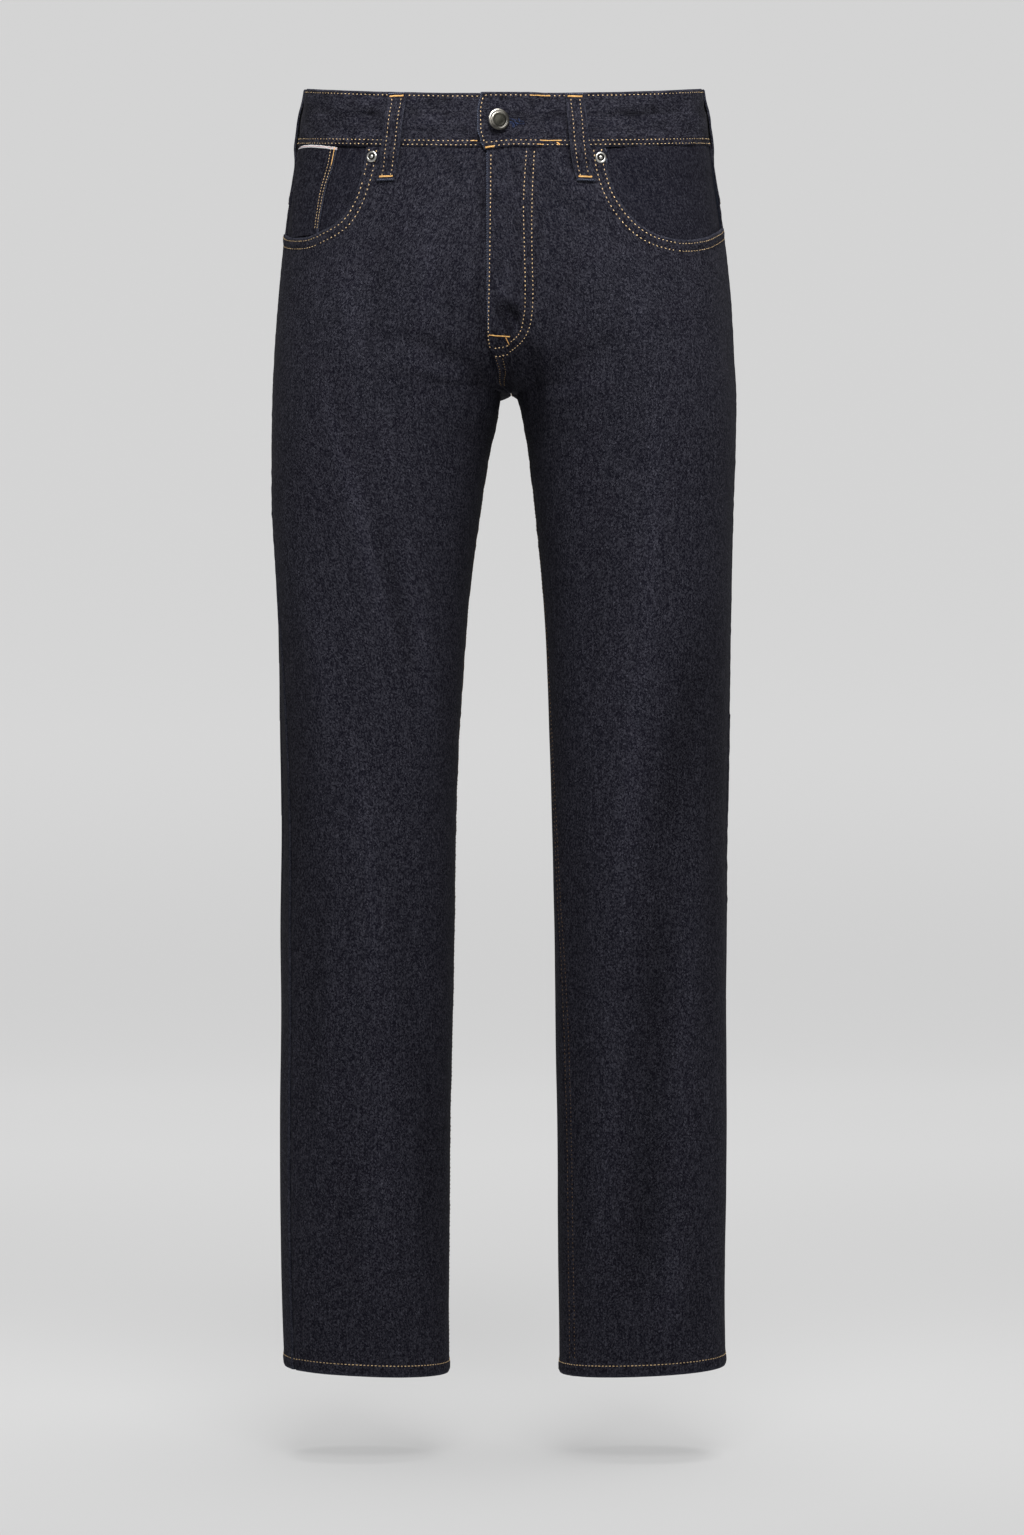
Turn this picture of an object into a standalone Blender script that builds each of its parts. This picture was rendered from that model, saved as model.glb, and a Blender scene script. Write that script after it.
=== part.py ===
"""Straight leg jeans in a worn, hollow form with no wearer: the cut pieces and the metal.

The form is read from short tables of sections, in millimetres, and turned to metres where a
mesh is made. A height is a drop below the waist's top edge at the side seams. +X is the
wearer's left, -Y the front, and the origin is the centre of the waist at mid waistband.
"""

import math
from collections import namedtuple
from functools import lru_cache

import bmesh
import bpy
from mathutils import Matrix, Vector

# ---------------------------------------------------------------- driving dimensions, mm
MM = 0.001
WAIST_TOP = 23.0        # the waist's top edge above the origin, at the side seams
FORK = 256.0            # drop of the crotch point, where the four leg panels meet
FORK_X = 5.0            # the crotch sits a little to the wearer's left
LEG_END = 1066.5        # drop of the leg's lower edge
HEM_TILT = 3.0          # the lower edge rises towards the side seam by this each way
OVALNESS = 2.25         # 2 is an ellipse; more is squarer
SPLIT_FROM = 60.0       # drop where the trunk starts to part into two leg ovals
SPLIT_TO = 300.0        # and where they are fully apart
FRONT_VALLEY = 8.0      # how late the valley between the legs deepens, going down the front
BACK_VALLEY = 6.0       # and down the back
CROTCH_ROUND = 8.0      # the inner edges round into the crotch over this drop
INNER_FLAT_FROM = 2.2   # radians round a leg: past it the inside lies flatter at the crotch

CLOTH = 1.2             # one layer of denim
COIN_CLOTH = 1.0        # the coin pocket's
GAP = 0.3               # between pieces at a seam
INSIDE = -CLOTH - 0.5   # the outer face of a piece that lies inside a panel
FRONT_DIP = 0.15        # the waist's top edge falls by this share of the way to the front
FRONT_EASE = 0.00034    # and levels out there
BACK_RISE = 0.105       # it rises by this share of the way to the back
BAND_WALL = 3.0         # a folded waistband
BAND_PROUD = 0.8        # its outer face stands out of the panels
BAND_LAP = BAND_WALL + 0.5      # the buttonhole end is raised over the button end
BAND_HEIGHT = 42.0      # at the centre front and back
BAND_TALLER = 4.5       # more than that at the sides
BAND_DEPTH = 112.0      # the waistband's reach to the front and the back
OVER_END = -9.6         # degrees round from the centre front: the buttonhole end
OVER_FLAT = 9.0         # raised to here
OVER_DOWN = 18.0        # and down on the panels from here
UNDER_END = 366.4       # the button end, one turn on, under the other
BAND_COLUMNS = 62

FLY_EDGE_X = -14.0      # the left front's folded edge, over the right front
FLY_LAP = 12.0          # how far the right front runs on under it
FLY_END = 214.0         # drop where the lap starts to run out
LAP_END = 236.0         # and where it is gone
FLY_FLAT = 26.0         # the raised fly's far side
FLY_RAMP = 18.0         # from there it sinks to the panel over this
FLY_PROUD = 2.0         # how far the left front stands over the right one

YOKE_SIDE = 96.0        # drop of the yoke seam at the side seam
YOKE_CENTRE = 111.0     # and at the centre back
FACING_END = 158.0      # drop of the pocket facing's lower edge
HOOK_START = 200.0      # a panel's crotch extension grows out of its inner edge from here
HOOK_FINISH = 300.0     # and has blended back into the inseam here
HOOK_POWER = 8.0        # higher keeps it nearer that edge
HEM_HEIGHT = 11.0
LOOP_WIDTH = 15.0
LOOP_LENGTH = 70.0
LOOP_WALL = 1.8
LOOP_TOP = 1.0          # below the waist's edge
LOOP_RISE = 3.4         # the belt's room under a loop
LOOP_TACK = 0.09        # share of its length sewn down at each end
LOOP_BEND = 0.34        # share by which it stands off fully
LOOP_SETTLE = 0.8       # its foot lies on the panel, lower than the band
POCKET_NEAR = 33.0      # the back pocket's top corners, out from the body's middle
POCKET_FAR = 160.0
POCKET_NARROWS = 6.0    # each side, towards its foot
POCKET_TOP = 127.0      # drop of the top corner nearer the centre back
POCKET_SLOPE = 9.0      # the other top corner is higher by this
POCKET_HEIGHT = 122.0   # down the side edges
POCKET_POINT = 20.0     # the middle of the lower edge hangs lower by this
FRONT_REACH = (-140.0, 0.0)     # y of the space an outline on the front is cut through
BACK_REACH = (40.0, 200.0)      # and on the back

# Outline of the worn garment: half widths to the wearer's left and right, front and back.
Form = namedtuple("Form", "drop left right front back")
FORM = [
    Form(-20, 162.5, 162.5, -105.0, 107.0),
    Form(0, 165.0, 165.0, -108.0, 110.0),
    Form(22, 168.0, 168.0, -110.8, 114.0),
    Form(45, 171.0, 171.0, -113.3, 118.0),
    Form(90, 178.7, 178.3, -117.3, 128.0),
    Form(130, 184.0, 183.8, -118.8, 135.0),
    Form(165, 187.7, 187.4, -117.8, 138.0),
    Form(200, 189.9, 190.2, -115.0, 135.0),
    Form(228, 191.5, 191.8, -111.0, 127.0),
    Form(256, 192.9, 192.9, -106.3, 116.5),
    Form(300, 192.9, 193.3, -100.0, 107.0),
    Form(350, 191.2, 192.9, -94.0, 100.0),
    Form(400, 189.5, 190.6, -88.5, 94.0),
    Form(475, 188.5, 188.4, -82.0, 87.0),
    Form(550, 187.5, 187.0, -77.0, 82.5),
    Form(625, 186.3, 186.3, -72.5, 79.0),
    Form(700, 185.8, 186.8, -68.5, 76.0),
    Form(775, 185.5, 186.3, -65.0, 73.5),
    Form(850, 185.8, 186.9, -61.5, 71.5),
    Form(926, 185.6, 187.0, -58.0, 69.5),
    Form(1000, 184.8, 186.2, -54.8, 67.0),
    Form(1075, 184.6, 183.0, -51.8, 64.5),
]

# The legs' inner edges below the crotch, out from the middle of the body.
Inner = namedtuple("Inner", "drop left right")
INNER = [
    Inner(256, 11.8, 1.0),
    Inner(275, 16.0, 6.2),
    Inner(300, 20.0, 11.7),
    Inner(325, 23.4, 16.2),
    Inner(350, 26.2, 19.6),
    Inner(400, 30.9, 26.6),
    Inner(450, 34.2, 31.5),
    Inner(525, 37.2, 36.7),
    Inner(600, 40.0, 39.8),
    Inner(700, 41.7, 41.8),
    Inner(800, 43.2, 43.2),
    Inner(926, 45.0, 45.6),
    Inner(1075, 46.2, 46.0),
]

# How far the seams turn forward round the leg, in degrees: the denim twists to one side.
Twist = namedtuple("Twist", "drop side_left side_right in_left in_right")
TWIST = [
    Twist(-20, 4, 4, 0, 0),
    Twist(256, 4, 4, 0, 0),
    Twist(350, 3, 8, 3, 0),
    Twist(450, 0, 20, 8, -4),
    Twist(560, -5, 28, 14, -8),
    Twist(670, -9, 30, 20, -12),
    Twist(800, -12, 31, 27, -14),
    Twist(1075, -12, 30, 27, -14),
]

# The front pocket's curved opening, from its front corner to the side seam.
Edge = namedtuple("Edge", "x drop")
SCOOP_LEFT = [
    Edge(81.5, 61.0), Edge(84.0, 78.0), Edge(90.0, 97.5), Edge(98.6, 111.5),
    Edge(110.5, 124.0), Edge(124.5, 131.5), Edge(144.5, 134.3), Edge(164.0, 130.0),
    Edge(176.0, 122.5),
]
SCOOP_RIGHT = [
    Edge(111.0, 60.0), Edge(114.3, 75.0), Edge(117.6, 88.8), Edge(123.9, 105.5),
    Edge(132.6, 118.0), Edge(147.0, 125.8), Edge(161.0, 129.6), Edge(173.0, 127.8),
    Edge(180.0, 123.8),
]
SCOOP_AT_SEAM = {1: 114.5, -1: 119.0}

# The coin pocket lies on the right facing, under its selvedge top.
COIN = [
    Edge(136.2, 60.6), Edge(170.0, 54.0), Edge(176.0, 88.0), Edge(173.5, 126.0),
    Edge(161.0, 128.0), Edge(151.5, 125.8), Edge(144.5, 92.0),
]

# Belt loops: the side they are on, where the top and the bottom of each are placed round
# the trunk, in degrees from the side seam's plane towards the front, and how far each
# stands off the panels' face where it is sewn down.
Loop = namedtuple("Loop", "name side top bottom off")
LOOPS = [
    Loop("belt_loop_front_left", 1, 62.1, 62.2, 2.0),
    Loop("belt_loop_front_right", -1, 48.2, 49.7, 1.4),
    Loop("belt_loop_side_left", 1, -4.0, -4.5, 1.4),
    Loop("belt_loop_side_right", -1, -4.0, -4.5, 1.4),
    Loop("belt_loop_back", 1, -90.0, -90.0, 1.4),
]

# Metal: the button and the rivets, placed on the front.
BUTTON = Edge(-4.5, 41.4)
RIVETS = {"left": Edge(78.2, 71.1), "right": Edge(-106.8, 68.8)}
METAL_GAP = 0.5         # between a button or rivet and the cloth it is on
TACK_ROOM = 1.7         # a tack's thickness and its gap, on the cloth's inner face

DENIM = ((0.015, 0.017, 0.028, 1.0), 0.85, 0.0)
SELVEDGE_DENIM = ((0.018, 0.020, 0.034, 1.0), 0.85, 0.0)
NICKEL = ((0.42, 0.40, 0.37, 1.0), 0.32, 1.0)


# ---------------------------------------------------------------- the form
def smooth_step(value, start, end):
    way = min(max((value - start) / (end - start), 0), 1)
    return way * way * (3 - 2 * way)


@lru_cache(maxsize=None)
def read(table_name, drop):
    """A row of a table at any drop, on a smooth curve through its rows."""
    table = {"form": FORM, "inner": INNER, "twist": TWIST}[table_name]
    drop = min(max(drop, table[0].drop), table[-1].drop)
    k = 0
    while k < len(table) - 2 and drop > table[k + 1].drop:
        k += 1
    low, high = table[k], table[k + 1]
    before, after = table[max(k - 1, 0)], table[min(k + 2, len(table) - 1)]
    step = high.drop - low.drop
    way = (drop - low.drop) / step
    values = [drop]
    for a, b, c, d in list(zip(before, low, high, after))[1:]:
        slope_low = (c - a) / (high.drop - before.drop) * step
        slope_high = (d - b) / (after.drop - low.drop) * step
        values.append(
            b * (2 * way**3 - 3 * way**2 + 1) + slope_low * (way**3 - 2 * way**2 + way)
            + c * (3 * way**2 - 2 * way**3) + slope_high * (way**3 - way**2)
        )
    return type(low)(*values)


Oval = namedtuple(
    "Oval", "outer valley centre middle depth reach_front reach_back inner_flat"
)


def reach_to(valley_offset, share):
    """Half width of the oval's inner quarter that passes the centre seam at this depth."""
    return valley_offset / (1 - share**OVALNESS) ** (1 / OVALNESS)


@lru_cache(maxsize=None)
def oval(side, drop):
    """The section of one half. Its x runs out from the body's middle on either side."""
    form = read("form", drop)
    outer = form.left if side > 0 else form.right
    inner = read("inner", max(drop, FORK))
    inner = inner.left if side > 0 else inner.right
    middle = (form.front + form.back) / 2
    depth = (form.back - form.front) / 2
    centre = smooth_step(drop, SPLIT_FROM, SPLIT_TO) * (outer + inner) / 2
    way = min(max(drop, 0) / FORK, 1)
    valley = side * FORK_X * way**2 + GAP / 2
    if drop >= FORK:
        rounding = 1 - min((drop - FORK) / CROTCH_ROUND, 1)
        edge = valley + (inner - valley) * math.sqrt(1 - rounding**2)
        soft = valley + (inner - valley) * smooth_step(drop, FORK, SPLIT_TO)
        reach = centre - soft
        return Oval(outer, edge, centre, middle, depth, reach, reach, edge - soft)
    if drop <= SPLIT_FROM:
        return Oval(outer, valley, 0.0, middle, depth, outer, outer, 0.0)
    centre = max(centre, valley + 0.05)
    front_share = math.sqrt(1 - way**FRONT_VALLEY)
    back_share = math.sqrt(1 - way**BACK_VALLEY)
    reach_front = reach_to(centre - valley, front_share)
    reach_back = reach_to(centre - valley, back_share)
    return Oval(outer, valley, centre, middle, depth, reach_front, reach_back, 0.0)


def half_width(o, angle):
    if math.cos(angle) >= 0:
        return o.outer - o.centre
    return o.reach_front if math.sin(angle) >= 0 else o.reach_back


def flat_point(side, angle, drop):
    """A point of a section: angle 0 is the outermost, a right angle the front."""
    o = oval(side, drop)
    across = abs(math.cos(angle) / half_width(o, angle)) ** OVALNESS
    along = abs(math.sin(angle) / o.depth) ** OVALNESS
    radius = (across + along) ** (-1 / OVALNESS)
    x = o.centre + radius * math.cos(angle)
    x += o.inner_flat * smooth_step(abs(angle), INNER_FLAT_FROM, math.pi)
    return side * x, o.middle - radius * math.sin(angle)


def angle_at(side, x, drop, front=True):
    """The angle where a half's section passes x, measured out from the body's middle."""
    o = oval(side, drop)
    reach = o.reach_front if front else o.reach_back
    width = o.outer - o.centre if x >= o.centre else reach
    share = min(abs(x - o.centre) / width, 1)
    depth = o.depth * (1 - share**OVALNESS) ** (1 / OVALNESS)
    angle = math.atan2(depth, x - o.centre)
    return angle if front else -angle


def height(drop):
    return WAIST_TOP - drop


def skin(side, angle, drop, lift=0.0):
    """A point of the cloth's outer face, moved out along its normal, in millimetres."""
    turn, fall = 0.01, 0.5
    x, y = flat_point(side, angle, drop)
    ahead = Vector((*flat_point(side, angle + turn, drop), 0))
    behind = Vector((*flat_point(side, angle - turn, drop), 0))
    above = Vector((*flat_point(side, angle, drop - fall), fall))
    below = Vector((*flat_point(side, angle, drop + fall), -fall))
    normal = (ahead - behind).cross(above - below) * -side
    return Vector((x, y, height(drop))) + normal.normalized() * lift


# ---------------------------------------------------------------- rows across a panel
ROW_STEPS = 48


def sweep(side, start, end):
    return [(side, start + (end - start) * k / ROW_STEPS) for k in range(ROW_STEPS + 1)]


def fly_edge(drop):
    """X of the left front's free edge, which runs into the centre seam at the crotch."""
    return FLY_EDGE_X + (FORK_X - FLY_EDGE_X) * smooth_step(drop, FLY_END, FORK)


def fly_lap(drop):
    return (FLY_LAP + GAP) * (1 - smooth_step(drop, FLY_END, LAP_END)) - GAP


def front_sweep(side, drop):
    """(side, angle) pairs across a front, from its inner edge to the side seam."""
    twist = read("twist", drop)
    seam = math.radians(twist.side_left if side > 0 else twist.side_right)
    if drop >= FORK:
        inseam = math.pi - math.radians(twist.in_left if side > 0 else twist.in_right)
        return sweep(side, inseam, seam)
    edge = fly_edge(drop)
    if side < 0:
        return sweep(-1, angle_at(-1, -edge - fly_lap(drop), drop), seam)
    valley = oval(-1, drop).valley
    start = angle_at(-1, max(-edge, valley + 0.01), drop)
    over = sweep(-1, start, angle_at(-1, valley, drop))[::12]
    return over + sweep(1, angle_at(1, oval(1, drop).valley, drop), seam)


def back_sweep(side, drop):
    twist = read("twist", drop)
    seam = math.radians(twist.side_left if side > 0 else twist.side_right)
    if drop >= FORK:
        inseam = math.pi + math.radians(twist.in_left if side > 0 else twist.in_right)
        return sweep(side, -inseam, seam)
    return sweep(side, angle_at(side, oval(side, drop).valley, drop, front=False), seam)


SWEEPS = {"front": front_sweep, "back": back_sweep}


@lru_cache(maxsize=None)
def measured_row(panel, side, drop):
    """A panel's row with the cloth's length measured along it."""
    angles = SWEEPS[panel](side, drop)
    points = [flat_point(s, a, drop) for s, a in angles]
    lengths = [0.0]
    for p, q in zip(points, points[1:]):
        lengths.append(lengths[-1] + math.dist(p, q))
    return angles, points, lengths


@lru_cache(maxsize=None)
def even_width(panel, side, drop):
    """A panel's width without the crotch extension its inner edge runs out to."""
    if not HOOK_START < drop < HOOK_FINISH:
        return measured_row(panel, side, drop)[2][-1]
    above = measured_row(panel, side, HOOK_START)[2][-1]
    below = measured_row(panel, side, HOOK_FINISH)[2][-1]
    return above + (below - above) * smooth_step(drop, HOOK_START, HOOK_FINISH)


def length_at(panel, side, share, drop):
    """Cloth from a panel's inner edge to a share: the extension is all near that edge."""
    width = measured_row(panel, side, drop)[2][-1]
    even = even_width(panel, side, drop)
    return width - (1 - share) * even - (1 - share) ** HOOK_POWER * (width - even)


def at_share(panel, side, share, drop, lift=0.0):
    """The point a share of the way across a panel, from its inner edge to the side seam."""
    angles, _, lengths = measured_row(panel, side, drop)
    target = length_at(panel, side, share, drop)
    target = min(max(target, GAP / 2), lengths[-1] - GAP / 2)
    k = 0
    while k < len(lengths) - 2 and lengths[k + 1] < target:
        k += 1
    (half, start), (other, end) = angles[k], angles[k + 1]
    way = (target - lengths[k]) / max(lengths[k + 1] - lengths[k], 1e-6)
    if half != other:
        half, start, end = (half, start, start) if way < 0.5 else (other, end, end)
    return skin(half, start + (end - start) * way, drop, lift)


def share_at(panel, side, x, drop):
    """The share across a panel where its row passes x, out from the body's middle."""
    _, points, lengths = measured_row(panel, side, drop)
    for k in range(len(points) - 1):
        if side * points[k][0] <= x <= side * points[k + 1][0]:
            way = (x - side * points[k][0]) / (side * (points[k + 1][0] - points[k][0]))
            return (lengths[k] + way * (lengths[k + 1] - lengths[k])) / lengths[-1]
    return 1.0


# ---------------------------------------------------------------- lines on the garment
def waist_edge(y):
    """Drop of the waist's top edge: low at the front, high at the back."""
    if y > 0:
        return -BACK_RISE * y
    return -FRONT_DIP * y + FRONT_EASE * y * y


def band_seam(y):
    depth = min(abs(y) / BAND_DEPTH, 1)
    return waist_edge(y) + BAND_HEIGHT + BAND_TALLER * (1 - depth)


def yoke_seam(share):
    return YOKE_CENTRE + (YOKE_SIDE - YOKE_CENTRE) * share


def seam_drop(panel, side, share):
    """Drop of the waistband's lower seam above a panel's column."""
    drop = 55.0
    for _ in range(4):
        drop = band_seam(at_share(panel, side, share, drop).y)
    return drop + GAP


def hem_drop(side, point_x, drop=LEG_END):
    o = oval(side, LEG_END)
    return drop + HEM_TILT * (o.centre - side * point_x) / (o.outer - o.centre)


def fly_lift(x, drop):
    """The left front stands over the right one along the fly and the centre seam."""
    flat = FLY_FLAT + (FORK_X - FLY_FLAT) * smooth_step(drop, FLY_END - 10, LAP_END)
    fade = 1 - smooth_step(drop, LAP_END, FORK - 4)
    return FLY_PROUD * fade * (1 - smooth_step(x, flat, flat + FLY_RAMP))


# ---------------------------------------------------------------- making the solids
def new_object(name, bm, finish, smooth=True):
    bmesh.ops.recalc_face_normals(bm, faces=bm.faces)
    if bm.calc_volume(signed=True) < 0:
        bmesh.ops.reverse_faces(bm, faces=bm.faces)
    mesh = bpy.data.meshes.new(name)
    bm.to_mesh(mesh)
    bm.free()
    if smooth:
        mesh.shade_smooth()
        mesh.set_sharp_from_angle(angle=math.radians(40))
    colour, roughness, metallic = finish
    material = bpy.data.materials.new(name)
    material.use_nodes = True
    shader = material.node_tree.nodes["Principled BSDF"]
    shader.inputs["Base Color"].default_value = colour
    shader.inputs["Roughness"].default_value = roughness
    shader.inputs["Metallic"].default_value = metallic
    mesh.materials.append(material)
    made = bpy.data.objects.new(name, mesh)
    bpy.context.scene.collection.objects.link(made)
    return made


def wall(name, columns, rows, place, outer, inner, finish=DENIM):
    """A cloth wall: a grid laid on place(column, row, lift), pushed through to its back."""
    bm = bmesh.new()
    bmesh.ops.create_grid(
        bm, x_segments=columns - 1, y_segments=rows - 1, size=1.0
    )
    column_of = bm.verts.layers.int.new("column")
    row_of = bm.verts.layers.int.new("row")
    for v in bm.verts:
        v[column_of] = round((v.co.x + 1) / 2 * (columns - 1))
        v[row_of] = round((v.co.y + 1) / 2 * (rows - 1))
    pushed = bmesh.ops.extrude_face_region(bm, geom=bm.faces[:])["geom"]
    back = {v for v in pushed if isinstance(v, bmesh.types.BMVert)}
    for v in bm.verts:
        lift = inner if v in back else outer
        v.co = place(v[column_of], v[row_of], lift) * MM
    bmesh.ops.triangulate(bm, faces=bm.faces, quad_method="SHORT_EDGE")
    return new_object(name, bm, finish)


UPPER_STEPS = 3
UPPER_END = 160.0
LOWER_ROWS = [
    UPPER_END, 185, 208, 226, 239, 249.5, 256.02, 258, 262.5, 271, 285, 305, 335,
    375, 425, 495, 585, 695, 820, 945, LEG_END,
]
INNER_COLUMNS = 4


def scoop_columns(side):
    """(share, drop) of the pocket opening's edge, ending at the side seam."""
    edge = SCOOP_LEFT if side > 0 else SCOOP_RIGHT
    points = [(share_at("front", side, e.x, e.drop), e.drop) for e in edge]
    points[0] = (points[0][0], seam_drop("front", side, points[0][0]))
    return points + [(1.0, SCOOP_AT_SEAM[side])]


def panel_drop(panel, side, share, row, top):
    """Drop of a panel's row: the upper rows share out the height below its top edge."""
    if row < UPPER_STEPS:
        return top + (UPPER_END - top) * row / UPPER_STEPS
    drop = LOWER_ROWS[row - UPPER_STEPS]
    if drop == LEG_END:
        return hem_drop(side, at_share(panel, side, share, LEG_END).x)
    return drop


def front_columns(side):
    """Shares across the front and the drop of the top edge at each."""
    scoop = scoop_columns(side)
    before = scoop[0][0] - 0.06
    shares = [before * k / INNER_COLUMNS for k in range(INNER_COLUMNS + 1)]
    tops = [seam_drop("front", side, s) for s in shares]
    return shares + [s for s, _ in scoop], tops + [d for _, d in scoop]


def front_panel(side, name):
    shares, tops = front_columns(side)

    def place(column, row, lift):
        share = shares[column]
        drop = panel_drop("front", side, share, row, tops[column])
        if side > 0:
            lift += fly_lift(at_share("front", side, share, drop).x, drop)
        return at_share("front", side, share, drop, lift)

    rows = UPPER_STEPS + len(LOWER_ROWS)
    return wall(name, len(shares), rows, place, 0.0, -CLOTH)


BACK_COLUMNS = 13


def back_panel(side, name):
    def place(column, row, lift):
        share = column / (BACK_COLUMNS - 1)
        drop = panel_drop("back", side, share, row, yoke_seam(share) + GAP)
        return at_share("back", side, share, drop, lift)

    rows = UPPER_STEPS + len(LOWER_ROWS)
    return wall(name, BACK_COLUMNS, rows, place, 0.0, -CLOTH)


def yoke(side, name):
    steps = 2

    def place(column, row, lift):
        share = column / (BACK_COLUMNS - 1)
        top = seam_drop("back", side, share)
        drop = top + (yoke_seam(share) - top) * row / steps
        return at_share("back", side, share, drop, lift)

    return wall(name, BACK_COLUMNS, steps + 1, place, 0.0, -CLOTH)


FACING_STEPS = 4


def facing_place(side, shares):
    """Places the rows between the waistband's seam and the facing's lower edge."""
    def place(column, row, lift):
        top = seam_drop("front", side, shares[column])
        drop = top + (FACING_END - top) * row / FACING_STEPS
        return at_share("front", side, shares[column], drop, lift)

    return place


def facing(side, name):
    """The denim behind the pocket's opening, on the same columns as the front."""
    shares = [s for s, _ in scoop_columns(side)]
    shares = [shares[0] - 0.05] + shares
    return wall(name, len(shares), FACING_STEPS + 1, facing_place(side, shares),
                INSIDE, INSIDE - CLOTH)


def coin_pocket(name):
    """A patch of the facing's own points, moved out, and cut to the coin pocket's outline."""
    shares = [s for s, _ in scoop_columns(-1)]
    patch = wall(name, len(shares), FACING_STEPS + 1, facing_place(-1, shares),
                 INSIDE + 2 * GAP + COIN_CLOTH, INSIDE + 2 * GAP, SELVEDGE_DENIM)
    cut_to_outline(patch, [(-e.x, height(e.drop)) for e in COIN], FRONT_REACH)
    return patch


def cut_to_outline(piece, outline, reach):
    """Keeps the part of a piece inside an outline, seen from the front or the back."""
    bm = bmesh.new()
    corners = [bm.verts.new((x * MM, reach[0] * MM, z * MM)) for x, z in outline]
    face = bm.faces.new(corners)
    pushed = bmesh.ops.extrude_face_region(bm, geom=[face])["geom"]
    moved = [v for v in pushed if isinstance(v, bmesh.types.BMVert)]
    bmesh.ops.translate(bm, verts=moved, vec=(0, (reach[1] - reach[0]) * MM, 0))
    cutter = new_object(piece.name + "_outline", bm, DENIM, smooth=False)
    cutter.hide_render = True
    cutter.display_type = "WIRE"
    cut = piece.modifiers.new("outline", "BOOLEAN")
    cut.operation = "INTERSECT"
    cut.object = cutter


def back_pocket(side, name):
    """A five-sided patch of the back panel's own points, moved out."""
    first, last = 1, BACK_COLUMNS - 2
    foot = POCKET_TOP + POCKET_HEIGHT
    rows = UPPER_STEPS + 1 + sum(drop < foot + POCKET_POINT for drop in LOWER_ROWS)

    def place(column, row, lift):
        share = (column + first) / (BACK_COLUMNS - 1)
        drop = panel_drop("back", side, share, row, yoke_seam(share) + GAP)
        return at_share("back", side, share, drop, lift)

    patch = wall(name, last - first + 1, rows, place, 2 * GAP + CLOTH, 2 * GAP)
    outline = [
        (POCKET_NEAR, POCKET_TOP),
        (POCKET_FAR, POCKET_TOP - POCKET_SLOPE),
        (POCKET_FAR - POCKET_NARROWS, foot - POCKET_SLOPE),
        ((POCKET_NEAR + POCKET_FAR) / 2, foot + POCKET_POINT - POCKET_SLOPE / 2),
        (POCKET_NEAR + POCKET_NARROWS, foot),
    ]
    cut_to_outline(patch, [(side * x, height(d)) for x, d in outline], BACK_REACH)
    return patch


def waistband(name):
    """A band one turn round, its buttonhole end lying over its button end."""
    steps = 2

    def place(column, row, lift):
        turn = OVER_END + (UNDER_END - OVER_END) * column / BAND_COLUMNS
        side = 1 if 0 <= turn < 180 or turn >= 360 else -1
        from_front = abs(turn) if turn < 180 else abs(360 - turn)
        angle = math.radians(90 - from_front)
        drop = 20.0
        for _ in range(4):
            y = flat_point(side, angle, drop)[1]
            top = waist_edge(y)
            drop = top + (band_seam(y) - top) * row / steps
        if turn < 180:
            lift += BAND_LAP * (1 - smooth_step(turn, OVER_FLAT, OVER_DOWN))
        return skin(side, angle, drop, lift)

    return wall(name, BAND_COLUMNS + 1, steps + 1, place, BAND_PROUD,
                BAND_PROUD - BAND_WALL)


def hem(side, name):
    """The turned-up edge inside the leg's lower opening, once round on the legs' columns."""
    last = BACK_COLUMNS - 1
    round_leg = [("front", share) for share in front_columns(side)[0]]
    round_leg += [("back", k / last) for k in range(last - 1, 0, -1)]
    bm = bmesh.new()
    rings = []
    inner = INSIDE - CLOTH
    top = LEG_END - HEM_HEIGHT
    for drop, lift in ((LEG_END, INSIDE), (top, INSIDE), (top, inner), (LEG_END, inner)):
        ring = []
        for panel, share in round_leg:
            level = hem_drop(side, at_share(panel, side, share, LEG_END).x, drop)
            ring.append(bm.verts.new(at_share(panel, side, share, level, lift) * MM))
        rings.append([bm.edges.new(pair) for pair in zip(ring, ring[1:] + ring[:1])])
    for k in range(4):
        bmesh.ops.bridge_loops(bm, edges=rings[k] + rings[(k + 1) % 4])
    return new_object(name, bm, DENIM)


def belt_loop(loop):
    """A flat strap, tacked at both ends and standing off between them."""
    across, along = 3, 12
    down = 1 - LOOP_BEND

    def place(column, row, lift):
        way = row / along
        degrees = loop.top + (loop.bottom - loop.top) * way
        angle = math.radians(degrees)
        y = flat_point(loop.side, angle, 20)[1]
        drop = waist_edge(y) + LOOP_TOP + LOOP_LENGTH * way
        x, y = flat_point(loop.side, angle, drop)
        radius = math.hypot(x, y - oval(loop.side, drop).middle)
        aside = (column / (across - 1) - 0.5) * LOOP_WIDTH / radius
        foot = smooth_step(way, down, 1 - LOOP_TACK)
        off = loop.off + LOOP_RISE * smooth_step(way, LOOP_TACK, LOOP_BEND) * (1 - foot)
        return skin(loop.side, angle + aside, drop, lift + off - LOOP_SETTLE * foot)

    return wall(loop.name, across, along + 1, place, LOOP_WALL, 0.0)


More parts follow.
